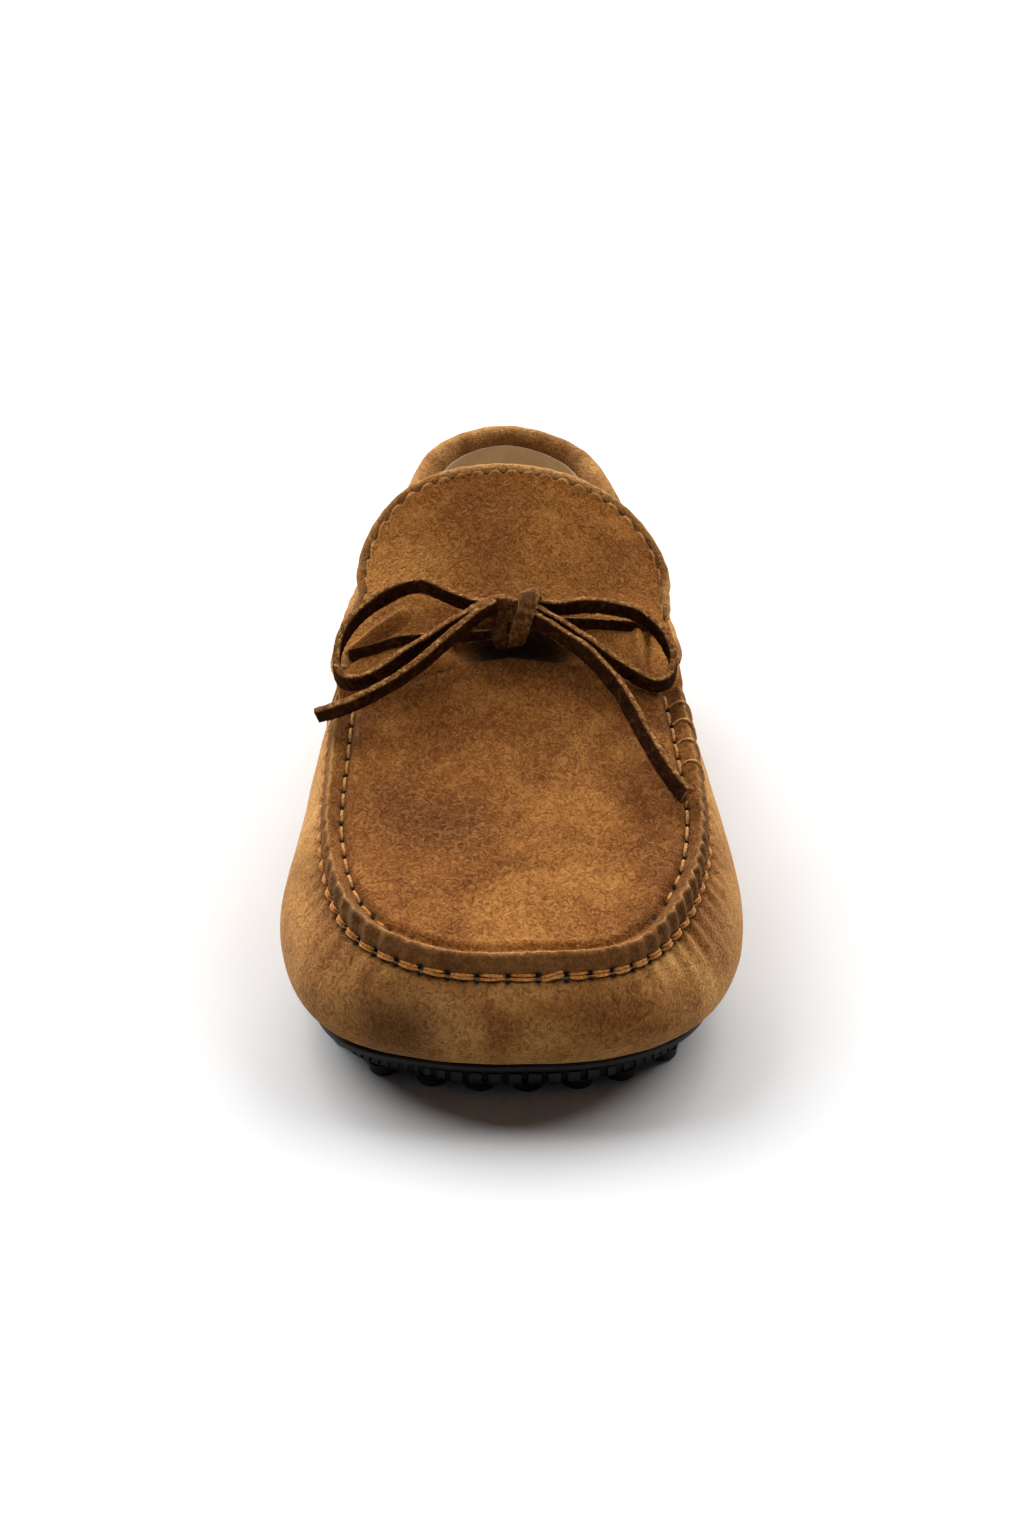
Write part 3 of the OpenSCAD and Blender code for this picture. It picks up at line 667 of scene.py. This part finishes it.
wall_piece("vamp_suede", -4.94, 4.94, 620, 84, ["vamp"], gathers=True)
wall_piece("quarter_medial_suede", 4.96, 9.9995, 200, 60, ["quarter_medial"], seed=11.0)
wall_piece("quarter_lateral_suede", 10.0005, 15.04, 200, 60, ["quarter_lateral"], seed=12.0)


def back_strap():
    """Strip over the seam at the back of the heel, thinner towards its edges."""
    u0, u1, v0, v1 = 9.70, 10.30, 0.47, 0.95
    u, v = np.meshgrid(np.linspace(u0, u1, 60), np.linspace(v0, v1, 60), indexing="ij")
    p, n = wall(u, v), wall_out(u, v)
    edge = np.minimum(np.minimum(u - u0, u1 - u) / 0.03, np.minimum(v - v0, v1 - v) / 0.02)
    outer = p + n * (0.8 + 0.7 * rounded(edge) + 0.1 * lumps(p, 12))[..., None]
    return shell("back_strap_suede", outer, p + n * 0.1)


dress(back_strap(), suede_trim, "root", ["back_strap"])


def heel_lining():
    u, v = np.meshgrid(np.linspace(4.9, 15.1, 300), np.linspace(0.13, 1.0, 40), indexing="ij")
    p, n = wall(u, v), wall_out(u, v)
    back, face = p - n * 3.3, p - n * (4.3 + lumps(p, 12, 14.0)[..., None] * 0.25)
    flat = unit(n[:, -1] * (1, 1, 0))
    # above the wall it turns in and runs up the inner side of the padded roll
    up = np.linspace(0, 1, 9)[None, 1:, None]
    rise = np.array([0, 0, 2.7]) * up
    top = p[:, -1:] + rise
    more_face = top - flat[:, None] * (4.3 + 1.15 * np.sqrt(up))
    back = np.concatenate([back, more_face + flat[:, None]], 1)
    face = np.concatenate([face, more_face], 1)
    return shell("quarter_lining_soft", back, face)


dress(heel_lining(), lining_mat, "root", ["quarter_lining"])

# ---------------- apron with its sewn ridge
RIDGE_PROFILE = np.array([  # distance in from the seam, height above it
    (0, 0.2), (-0.2, 1.2), (0, 2.6), (0.45, 4.2), (0.95, 5.4), (1.5, 6.1), (2.0, 6.3), (2.7, 5.95), (3.5, 5.2),
    (4.3, 4.4), (5.2, 3.7), (5.9, 3.4), (6.6, 3.6), (7.6, 4.1), (8.8, 4.6)], float)
GROOVE = 5.9       # distance from the seam to the groove that holds the inner row of stitches
INNER_PITCH = 6.4  # of that row


def apron_ray(u):
    """Points of the seam, and the points of the shoe's middle line that the apron's rows run to."""
    e = closed(TOP, u)
    f = np.abs(u) / SEAM_END
    s = np.stack([0.6 - 0.6 * f, -98 + (THROAT_Y + 98) * f], -1)
    return e, s


def apron_height(e, y, f):
    """Height of the panel at y, the part f of the way from the seam to the middle line."""
    k = 1 - (1 - f) ** 2.2
    return (e[..., 2] + PANEL_RISE) * (1 - k) + level(y) * k


def front(u):
    """1 in front of the toe, 0 along the sides."""
    return bell(u, 1.7, 4)


_e, _s = apron_ray(seam_u)
inner_line = np.column_stack([_e[:, :2] + unit(_s - _e[:, :2]) * GROOVE, _e[:, 2] + 3.9 - 1.7 * front(seam_u)])
inner_count, inner_at = stations(inner_line, INNER_PITCH)
inner_number = run_of(inner_line) / run_of(inner_line)[-1] * inner_count


def apron_grid(u):
    """Upper face of the apron, one row for each place u on the seam, and the profile of its ridge."""
    e, s = apron_ray(u)
    length = np.linalg.norm(s - e[:, :2], axis=1)
    ray = (s - e[:, :2]) / length[:, None]
    prof = along(RIDGE_PROFILE, 58)
    m = len(prof)
    panel = np.linspace(0, 1, 45)[1:]
    keep = smooth(prof[:, 0], 6.0, prof[-1, 0])
    lift = prof[-1, 1] - PANEL_RISE
    rows = []
    for i in range(len(u)):
        dist = np.concatenate([prof[:, 0], prof[-1, 0] + (length[i] - prof[-1, 0]) * panel])
        xy = e[i, :2] + ray[i] * dist[:, None]
        f = np.clip(dist / length[i], 0, 1)
        z = apron_height(e[i], xy[:, 1], f)
        z[:m] = (e[i, 2] + prof[:, 1]) * (1 - keep) + (z[:m] + lift) * keep
        z[m:] += lift * (1 - f[m:]) ** 1.5
        rows.append(np.column_stack([xy, z]))
    return np.array(rows), prof, e, ray


def apron_piece():
    u = np.linspace(-SEAM_END, SEAM_END, 841)
    grid, prof, e, ray = apron_grid(u)
    m = len(prof)
    k = np.arange(grid.shape[1])
    place = np.interp(k, np.arange(m), prof[:, 0], right=99)  # distance in from the seam
    tall = np.interp(k, np.arange(m), prof[:, 1], right=0)    # height above the seam
    face = (place < 1.9) & (k < m * 0.5)
    out = np.column_stack([-ray, np.zeros(len(u))])[:, None]
    ahead = front(u)[:, None]
    # the thread pulls the ridge in at every hole, most of all at the gathered corners
    c, number = corner(u)[:, None], seam_s(u)
    pull = np.cos(2 * math.pi * number)[:, None] * np.where(k < m, bell(place - 1.2, 2.0), 0)
    grid += out * (-(0.14 + np.where(u > 0, 0.38, 0.22)[:, None] * c) * pull)[..., None]
    grid[..., 2] -= (0.05 + 0.16 * c) * pull
    # uneven cut edge, soft swells over the panel
    rough = lumps(grid, 2.6, 31.0) * 0.30 + lumps(grid, 1.2, 32.0) * 0.16
    grid += out * (rough * bell(place - 0.6, 1.4))[..., None]
    grid[..., 2] += rough * bell(place - 1.9, 0.9) * 1.1
    grid[..., 2] += (lumps(grid, 22, 3.0) * 0.5 + lumps(grid, 8, 4.0) * 0.16) * smooth(k, 0, 10)
    grid[..., 2] += ahead * 0.6 * bell(place - 6.4, 1.5)
    # holes of the inner row lie in the groove, those of the outer row at the foot of the ridge
    pit = near_hole(np.interp(u, seam_u, inner_number), INNER_PITCH, 0.75)[:, None] * bell(place - GROOVE, 0.8)
    pit *= 1 - ahead
    grid[..., 2] -= 0.7 * pit
    outer_pit = near_hole(number, seam_pitch(u), 0.85)[:, None] * (bell(tall - 0.9, 0.9) * face)
    grid -= out * (0.6 * outer_pit)[..., None]
    x, y = grid[..., 0], grid[..., 1]
    # painted shade: the stitch holes and the panel's rear edge below the knot are painted near black, and that edge is
    # darkened again in the shade below
    hole = np.clip(np.clip(1.5 * (pit + outer_pit), 0, 1) + 0.8 * bell(y + 16, 4.5) * bell(x - 3, 13, 4), 0, 1)
    # the ridge's face is the raw cut edge of the leather; a painted highlight runs along its top
    raw = 0.5 * smooth(tall, 0.8, 2.2) * face * smooth(5.9 - tall, 0, 0.8)
    lip_highlight = 0.5 * bell(place - 1.75, 0.45) * smooth(tall, 4.5, 5.6) * (0.75 + 0.6 * lumps(grid, 4.0, 41.0))
    # painted shade on the ridge's face, deepest at its foot, and in the groove along the sides
    shade = face * (0.75 - 0.45 * smooth(tall, 0.4, 2.6)) + 0.38 * (1 - ahead) * bell(place - GROOVE, 0.9)
    shade = shade + 0.9 * bell(y + 18, 6.0) * bell(x - 3, 15, 4)
    # the underside is flat below the ridge
    under = grid.copy()
    under[..., 2] -= LEATHER
    under[:, :m, 2] = np.where(prof[:, 0] < 3.4, (e[:, 2] + 0.1)[:, None], under[:, :m, 2])
    under[:, :m, :2] = np.where((prof[:, 0] < 0.3)[:, None], (e[:, :2] + ray * 0.3)[:, None], under[:, :m, :2])
    # the rows of both halves end on the middle line, where their vertices are merged
    obj = shell("apron_suede", grid, under, {"shade": np.clip(shade, 0, 1), "hole": hole, "lip_highlight": np.clip(lip_highlight, 0, 1),
                                             "raw": np.broadcast_to(raw, hole.shape)}, 0, last_side=False)
    bm = bmesh.new()
    bm.from_mesh(obj.data)
    bmesh.ops.remove_doubles(bm, verts=bm.verts, dist=2e-6)
    bmesh.ops.dissolve_degenerate(bm, dist=1e-7, edges=bm.edges)
    bmesh.ops.recalc_face_normals(bm, faces=bm.faces)
    bm.to_mesh(obj.data)
    bm.free()
    obj.data.set_sharp_from_angle(angle=math.radians(60))
    return obj


dress(apron_piece(), suede_apron, "root", ["apron", "seam_end_medial", "seam_end_lateral"])


# ---------------- hand-sewn stitches
def strand(start, end, lift, radius, sides=8, count=9, dip=0.7):
    """One stitch strand that comes up out of a hole and goes down into the next."""
    f = np.linspace(0, 1, count)
    rise = np.sin(math.pi * f) ** 0.45
    path = start + (end - start) * f[:, None] + lift * ((rise - 1) * dip)[:, None]
    return sweep_data(path, circle(radius, sides), up=lift, scale=0.75 + 0.25 * np.sin(math.pi * f) ** 0.4)


rng = np.random.default_rng(7)
outer_parts = []
SLANTED = int(round(seam_s(0.25) - 0.5))  # one stitch in front was sewn slanting
for k in range(seam_count):
    length = seam_pitch(seam_at(k + 0.5))
    hole_part = 0.5 * min(0.26, 1.55 / length)
    a, b = seam_at(k + hole_part), seam_at(k + 1 - hole_part)
    n = wall_out(np.array(seam_at(k + 0.5)), np.array(0.97))
    out = unit(np.array([n[0], n[1], 0.0]))
    facing = unit(out + np.array([0, 0, 0.45]))
    cross = unit(np.cross(facing, closed(TOP, b) - closed(TOP, a)))
    if cross[2] < 0:
        cross = -cross
    skew = 1.5 if k == SLANTED else 0.0
    for side in (-1, 1):
        wob = rng.normal(0, 0.09, 2)
        pa, pb = (closed(TOP, place) + out * 0.62 + (0, 0, 0.8 + skew * tilt) + cross * (side * 0.42 + shift)
                  for place, tilt, shift in ((a, -0.4, wob[0]), (b, 0.6, wob[1])))
        outer_parts.append(strand(pa, pb, facing, 0.41 + rng.normal(0, 0.02), dip=1.1))
sew("seam_stitches_outer", outer_parts, thread_mat, "root", "seam_thread_outer")


def inward(u):
    """A place on the seam and the level direction from it towards the middle of the apron."""
    e, s = apron_ray(np.array(u))
    return e, np.array([*unit(s - e[:2]), 0.0])


inner_parts = []
for k in range(inner_count):
    pa, pb = inner_at(k + 0.13), inner_at(k + 0.87)
    wob = rng.normal(0, 0.10, 2)
    _, ray = inward(np.interp(k + 0.5, inner_number, seam_u))
    upright = unit(np.array([0, 0, 1.0]) - 0.2 * ray)
    inner_parts.append(strand(pa + ray * wob[0], pb + ray * wob[1], upright, 0.45, dip=0.9))
# thin whip stitches cross the narrow end of the ridge on the inner side
WHIP = ((-0.5, 1.6), (0.3, 4.9), (1.8, 6.7), (3.6, 5.6), (5.4, 4.0))  # distance in from the seam, height above it
for u in (3.62, 3.86, 4.10, 4.32):
    e, ray = inward(u)
    run = np.array([e + ray * far + (0, 0, high) for far, high in WHIP])
    run[3:, 1] += 1.6
    inner_parts.append(sweep_data(along(run, 18), circle(0.42, 8)))
sew("seam_stitches_inner", inner_parts, pale_thread_mat, "root", "seam_thread_inner")

# ---------------- collar
collar_u = np.linspace(4.98, 15.02, 420)
_n = wall_out(collar_u, np.full_like(collar_u, 0.9))
collar_path = closed(TOP, collar_u) + np.array([0, 0, ROLL + 0.25]) - unit(_n * (1, 1, 0)) * 1.3


def collar_piece():
    sides = 40
    _, side, _ = frames(collar_path, (0, 0, 1))
    s = run_of(collar_path)
    # soft puckers across the roll, which narrows at its ends
    pucker = 0.06 * np.cos(2 * math.pi * s / 8.3 + 2.5 * lumps(collar_path, 20, 2.0))
    pucker += 0.10 * lumps(collar_path, 9, 5.0)
    end = np.minimum(smooth(s, 0, 5), smooth(s[-1] - s, 0, 5))
    radius = ROLL * (0.62 + 0.38 * np.sqrt(end)) + pucker
    # painted shade below and on the side that faces the opening
    a = np.arange(sides) * 2 * math.pi / sides
    inside = np.clip(-np.sign(side[len(side) // 2, 1]) * np.cos(a) * 0.8 - 0.2, 0, 1)
    shade = 0.8 * (np.clip(-np.sin(a) - 0.55, 0, 1) + 0.45 * inside)
    return roll("collar_roll_suede", collar_path, (0, 0, 1), radius, (1, 1.02), 6, 0.15, sides, shade)


collar = dress(collar_piece(), suede_trim, "root", ["collar_roll", "collar_foam"])


def wall_stitches(u, v, off, end, radius):
    """Stitches along a line on the wall: off is how far they stand out, end is where each one ends."""
    count, at = stations(np.column_stack([wall(u, v), wall_out(u, v)]), WALL_PITCH)
    parts = []
    for k in range(count):
        a, b = at(k + 0.12), at(k + end)
        parts.append(strand(a[:3] + a[3:] * off, b[:3] + b[3:] * off, a[3:], radius, 6, 7))
    return parts


WALL_PITCH = 3.4
below_collar = np.linspace(5.1, 14.9, 900)
sew("collar_stitches", wall_stitches(below_collar, np.full_like(below_collar, 0.965), 0.55, 0.82, 0.36), thread_mat,
    "root", "collar_thread")
strap_v = np.linspace(0.5, 0.93, 200)
parts = []
for side in (-1, 1):
    parts += wall_stitches(np.full_like(strap_v, 10 + side * 0.245), strap_v, 1.85, 0.85, 0.34)
sew("heel_stitches", parts, thread_mat, "root", "heel_thread")

lace_run = np.concatenate([along(CROSSING_RIGHT, 60), collar_path[8:-8:4], along(CROSSING_LEFT, 60)[::-1]])
obj = lace("rawhide_collar_lace", lace_run, (0.0, 0.3, 1.0), 6.0, 3.0, 1.8)
dress(obj, rawhide_mat, "root", ["collar_lace"])


# ---------------- tongue
def tongue_outline(count):
    """Side edge from the throat up, round the free end and down again."""
    left = [(-46.5, -20), (-46, -14), (-44.8, -7), (-43, 0)]
    right = [(43.6, 0), (45.2, -7), (46.3, -14), (46.8, -20)]
    pts = np.array(left + [tuple(p) for p in TONGUE_EDGE] + right, float)
    pts[4:-4, 0] += 1.0
    return pts, opened(pts, np.linspace(0, len(pts) - 1, count))


def tongue_surface(x, y):
    """Height of the tongue's upper face."""
    z = saddle(x, y)
    # sinks deep under the knot, and is pressed into folds inside the two loops of the bow
    z = z - 7.0 * bell(y + 15.0, 6.0) * bell(x - 2, 17, 4)
    z = z + 0.7 * bell(y + 19.5, 3.0) * (1 - bell(x - 2, 17, 4))
    across = y + 11 - 0.45 * (x + 43)
    near = smooth(x, -48, -43) * (1 - smooth(x, -31, -26))
    z = z + near * (1.5 * bell(across, 1.6) - 2.6 * bell(across + 2.9, 0.9))
    across = x - 34.5 - 0.06 * (y + 15)
    near = smooth(y, -27, -22) * (1 - smooth(y, -7, -2))
    z = z + near * (1.3 * bell(across, 1.4) - 2.0 * bell(across - 2.6, 0.8))
    return z


def throat_shade(p):
    """Where the hollow below the knot is painted almost black, as deep as its shade is in the photo."""
    return bell(p[..., 1] + 15.5, 7.5, 4) * bell(p[..., 0] - 3, 14, 4)


SCALLOP = 4.9  # length of one scallop, and of one stitch of the same row


def tongue_piece():
    n, m = 760, 110
    pts, edge = tongue_outline(n)
    start_x = np.linspace(-43.5, 43.5, n)
    start = np.column_stack([start_x, np.full(n, THROAT_Y - 9.0)])
    f = 1 - (1 - np.linspace(0, 1, m)) ** 1.7
    xy = start[:, None] + (edge - start)[:, None] * f[None, :, None]
    z = tongue_surface(xy[..., 0], xy[..., 1])
    grid = np.concatenate([xy, z[..., None]], -1)
    grid[..., 2] += lumps(grid, 24, 15.0) * 0.5 + lumps(grid, 8, 16.0) * 0.14
    grid[..., 2] -= 2.4 * (1 - smooth(grid[..., 1], -26.5, -21.5))
    gap = np.linalg.norm(grid - grid[:, -1:], axis=-1)
    s = run_of(edge)
    free = smooth(edge[:, 1], -3, 5)[:, None]
    # the sewn panel stands a little above the binding and its edge is scalloped by the thread
    wave = np.abs(np.sin(math.pi * s / SCALLOP))[:, None]
    rim = 1.75 + 0.75 * (1 - wave)
    grid[..., 2] += free * (1.45 * smooth(gap, rim - 0.3, rim + 0.3) - 1.1)
    grid[..., 2] += free * 0.35 * wave * bell(gap - 3.0, 0.9)
    # painted shade: the stitch holes near black and a dark line just outside the raised edge; the margin is darkened;
    # each scallop gets a painted highlight
    hole = free * np.clip(2.2 * bell(wave, 0.5) * bell(gap - 2.2, 0.75), 0, 1)
    grid[..., 2] -= 0.9 * hole
    shade = free * bell(gap - rim + 0.2, 0.5)
    shade += free * 0.22 * (1 - smooth(gap, 1.6, 2.4))
    lip_highlight = free * 0.55 * wave * bell(gap - rim - 0.7, 0.45)
    # a darker patch in the middle; the hollow below the knot gets painted shade, near black
    middle = bell(grid[..., 0], 26) * smooth(grid[..., 1], -14, 6) * (1 - smooth(grid[..., 1], 20, 34))
    recess = throat_shade(grid)
    shade = np.clip(shade + 0.16 * middle + recess, 0, 1)
    hole = np.clip(hole + 0.92 * recess, 0, 1)
    inner = grid.copy()
    inner[..., 2] -= LEATHER + 1.2
    obj = shell("tongue_suede", grid, inner, {"shade": shade, "hole": hole, "lip_highlight": lip_highlight}, 55)
    return obj, pts


tongue, tongue_pts = tongue_piece()
dress(tongue, suede_tongue, None, ["tongue", "tongue_base", "tongue_lining", "tongue_base_lining",
                                            "gusset_medial", "gusset_lateral"])
BEND_FROM, BEND_TO = to_frame((0, -6, 69)), to_frame((0, 13, 81))
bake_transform(tongue)

edge_line = opened(tongue_pts, np.linspace(3.2, len(tongue_pts) - 4.2, 500))
edge_line = np.column_stack([edge_line, tongue_surface(edge_line[:, 0], edge_line[:, 1])])


def binding_piece():
    path = edge_line - np.array([0, 0, 1.75])
    s = run_of(path)
    end = np.minimum(smooth(s, 0, 4), smooth(s[-1] - s, 0, 4))
    radius = (1.62 + 0.05 * np.cos(2 * math.pi * s / SCALLOP)) * (0.45 + 0.55 * end)
    return roll("tongue_binding_suede", path, (0, -0.4, 1), radius, (1.15, 1.0), 4, 0.12, 24)


binding = dress(binding_piece(), suede_trim, None, ["tongue_binding"])
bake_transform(binding)

_, _side, _high = frames(edge_line, (0, -0.4, 1))
row = edge_line - np.sign(_side[len(_side) // 2, 1]) * _side * 1.8
row[:, 2] = tongue_surface(row[:, 0], row[:, 1]) - 0.55
count, at = stations(np.column_stack([row, _high]), SCALLOP)
parts = []
for k in range(1, count - 1):
    a, b = at(k + 0.10), at(k + 0.90)
    parts.append(strand(a[:3], b[:3], unit(a[3:]), 0.36, 7, 8, 0.8))
stitches = sew("tongue_stitches", parts, tone_thread_mat, None, "tongue_thread")
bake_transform(stitches)


# ---------------- rubber sole
def foot(u, inset):
    """Point of the upper's lower edge, moved in by inset."""
    d = closed(FEATHER, u + 0.05) - closed(FEATHER, u - 0.05)
    n = unit(np.stack([d[..., 1], -d[..., 0], np.zeros_like(d[..., 0])], -1))
    return closed(FEATHER, u) - n * np.asarray(inset)[..., None]


def plate_data(u0, u1, rows, profile):
    """Rubber plate with a rounded rim: profile is inset and height from the lower middle up to the top."""
    us = np.linspace(u0, u1, rows)
    loop_u = np.concatenate([us, 20 - us[::-1]])
    rings = []
    for inset, z in profile:
        turn = np.abs((loop_u + 10) % 20 - 10)
        p = foot(loop_u, inset - 1.9 * bell(turn - 2.6, 1.2) * smooth(z, 3.5, 4.8))
        p[:, 2] = z + (p[:, 2] - 7 if z > 4 else 0)
        rings.append(p)
    grid = np.array(rings)
    n, m = grid.shape[:2]
    verts = grid.reshape(-1, 3)
    faces = quads(n, m, wrap_cols=True)
    faces += [(j, j + 1, m - 2 - j, m - 1 - j) for j in range(m // 2 - 1)]
    top = (n - 1) * m
    faces += [(top + m - 1 - j, top + m - 2 - j, top + j + 1, top + j) for j in range(m // 2 - 1)]
    return verts, faces


def nub_data(x, y, radius=3.75, top=1.2):
    """One round nub: its profile is the part of the radius and the height."""
    prof = [(0.70, GROUND), (0.88, GROUND + 0.1), (0.97, GROUND + 0.45), (1.0, GROUND + 1.0), (1.03, top - 0.6),
            (1.1, top)]
    sides = 28
    rings = [np.column_stack([circle(radius * r, sides) + (x, y), np.full(sides, z)]) for r, z in prof]
    return np.concatenate(rings), tube_faces(len(rings), sides)


PLATE = [(3.4, 1.0), (2.2, 1.05), (1.3, 1.3), (0.85, 1.8), (0.65, 2.8), (0.6, 4.1), (0.35, 4.45), (-0.45, 4.6),
         (-0.8, 4.9), (-0.9, 5.5), (-0.85, 6.1), (-0.55, 6.5), (0.2, 6.75)]
NUB_PITCH = 11.9
NUB_INSET = 7.4  # least distance from the middle of a nub to the edge
FRONT_NUB_X = (-40.0, -30.2, -18.4, -6.9, 4.6, 16.6, 26.9, 37.5)


def nub_grid(y0, y1):
    """Middles of the staggered nubs that fit between two ends of the sole."""
    us = np.linspace(0, 10, 41)
    ys = foot(us, np.zeros_like(us))[:, 1]
    found = []
    for i in range(int((y1 - y0) / NUB_PITCH) + 1):
        for j in range(-4, 5):
            x, y = (j + (i % 2) / 2) * NUB_PITCH + 0.5, y0 + i * NUB_PITCH
            k = us[int(np.argmin(np.abs(ys - y)))]
            if foot(20 - k, np.array(NUB_INSET))[0] < x < foot(k, np.array(NUB_INSET))[0]:
                found.append((x, y))
    return found


def block_data(u, width, low, high, depth):
    """Small upright block moulded on the lower band of the rim."""
    p = foot(np.array(u), np.array(0.5))
    d = unit(foot(np.array(u + 0.05), np.array(0.0)) - foot(np.array(u - 0.05), np.array(0.0)))
    out = np.array([d[1], -d[0], 0])
    w, q = width / 2, []
    for z, k in ((low, 0.3), (low + 0.35, 1.0), (high - 0.35, 1.0), (high, 0.6)):
        c = p * (1, 1, 0) + np.array([0, 0, z])
        q += [c - d * w - out * 1.2, c - d * (w - 0.25) + out * depth * k,
              c + d * (w - 0.25) + out * depth * k, c + d * w - out * 1.2]
    return np.array(q), tube_faces(4, 4)


def rim_blocks():
    """Squarish blocks in front that turn into narrow ribs at the two corners of the toe."""
    us = np.linspace(-3.0, 3.0, 1201)
    run = run_of(foot(us, np.zeros_like(us)))
    parts, s = [], 0.0
    while s < run[-1]:
        u = float(np.interp(s, run, us))
        square = 1 - float(smooth(abs(u), 0.5, 1.3))
        width = 1.3 + 2.2 * square
        parts.append(block_data(u, width, 2.2 - square, 4.2, 0.35 + 0.2 * square))
        s += width + 1.25
    return parts


# the row of nubs along the front edge
_fu = np.linspace(-2.6, 2.6, 521)
_row = foot(_fu, np.full_like(_fu, 4.8))
front_nubs = [tuple(foot(np.interp(x, _row[:, 0], _fu), np.array(4.8))[:2]) for x in FRONT_NUB_X]
parts = [plate_data(0.3, 5.9, 160, PLATE)]
parts += [nub_data(x, y) for x, y in front_nubs + nub_grid(-114, 12)] + rim_blocks()
v, f = join_data(parts)
dress(add_mesh("forefoot_rubber", v, f, None, 40), rubber_mat, "root", ["forefoot_sole"])

TAB_FROM, TAB_TO, TAB_TOP = 9.22, 10.78, 0.42
tab_u, tab_v = np.meshgrid(np.linspace(TAB_FROM, TAB_TO, 70), np.linspace(0, TAB_TOP, 40), indexing="ij")
tab_p, tab_n = wall(tab_u, tab_v), wall_out(tab_u, tab_v)
edge = np.minimum(np.minimum(tab_u - TAB_FROM, TAB_TO - tab_u) / 0.06, (TAB_TOP - tab_v) / 0.05)
tab = shell("heel_tab", tab_p + tab_n * (0.3 + 1.7 * rounded(edge))[..., None], tab_p + tab_n * 0.1)
parts = [plate_data(7.3, 9.75, 90, PLATE)] + [nub_data(x, y) for x, y in nub_grid(80, 122)]
v, f = join_data(parts)
dress(add_mesh("heel_rubber", v, f, None, 40), rubber_mat, "root", ["heel_sole"])
dress(tab, rubber_mat, "root")


# ---------------- inside of the shoe
def liner_piece():
    """Leather sock on the footbed, raised a little at the heel and under the arch."""
    us = np.linspace(0.35, 9.6, 120)
    a, b = foot(us, np.full_like(us, 1.6)), foot(20 - us, np.full_like(us, 1.6))
    f = np.linspace(0, 1, 40)
    grid = a[:, None] + (b - a)[:, None] * f[None, :, None]
    heel_cup = smooth(grid[..., 1], 60, 125) * (np.abs(2 * f - 1) ** 2.5)[None] * 1.6
    arch = bell(grid[..., 1] - 25, 30) * smooth(1 - f, 0.6, 1.0)[None] * 2.5
    grid[..., 2] += 7.6 + heel_cup + arch + lumps(grid, 22, 20.0) * 0.25
    low = grid.copy()
    low[..., 2] -= 1.0
    return shell("sock_liner_soft", grid, low)


dress(liner_piece(), lining_mat, "root", ["sock_liner"])

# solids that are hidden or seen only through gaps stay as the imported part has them
for node, material in {"footbed_foam": foam_mat, "insole_board": board_mat, "heel_counter": board_mat,
                       "bottom_leather": suede_trim, "vamp_lining": lining_mat}.items():
    data = frame["nodes"][node].data
    data.materials.clear()
    data.materials.append(material)

# ---------------- floor and light
FLOOR_HALF = 60.0
corners = [(-FLOOR_HALF, -FLOOR_HALF, 0), (FLOOR_HALF, -FLOOR_HALF, 0), (FLOOR_HALF, FLOOR_HALF, 0),
           (-FLOOR_HALF, FLOOR_HALF, 0)]
floor_mesh = bpy.data.meshes.new("floor")
floor_mesh.from_pydata(corners, [], [(0, 1, 2, 3)])
floor = bpy.data.objects.new("floor", floor_mesh)
bpy.context.scene.collection.objects.link(floor)
floor_mesh.materials.append(Nodes("floor_mat").finish((0.94, 0.94, 0.94, 1), None, 0.8, Specular_IOR_Level=0.1))


def soft_sun(name, towards, strength, spread):
    """A broad studio light far away; towards is the direction from the shoe to the light."""
    light = bpy.data.lights.new(name, "SUN")
    light.energy = strength
    light.angle = math.radians(spread)
    obj = bpy.data.objects.new(name, light)
    obj.location = Vector(towards).normalized() * 2
    obj.rotation_euler = Vector(towards).to_track_quat("Z", "Y").to_euler()
    bpy.context.scene.collection.objects.link(obj)
    return obj


soft_sun("back_left", (-0.62, 0.72, 0.62), 3.3, 45)
soft_sun("back_right", (0.62, 0.72, 0.62), 2.5, 45)
soft_sun("back_top", (0.0, 1.0, 0.75), 1.6, 45)
# the studio's overhead light is kept off the floor, so that the shadow in front stays deep
overhead = soft_sun("overhead", (0.05, 0.02, 1.0), 1.7, 70)
spared = bpy.data.collections.new("spared")
spared.objects.link(floor)
overhead.light_linking.receiver_collection = spared
spared.collection_objects[0].light_linking.link_state = "EXCLUDE"
world = bpy.data.worlds.new("studio")
world.use_nodes = True
world.node_tree.nodes["Background"].inputs[0].default_value = (1, 1, 1, 1)
world.node_tree.nodes["Background"].inputs[1].default_value = 0.03
bpy.context.scene.world = world
bpy.context.scene.view_settings.view_transform = "Standard"
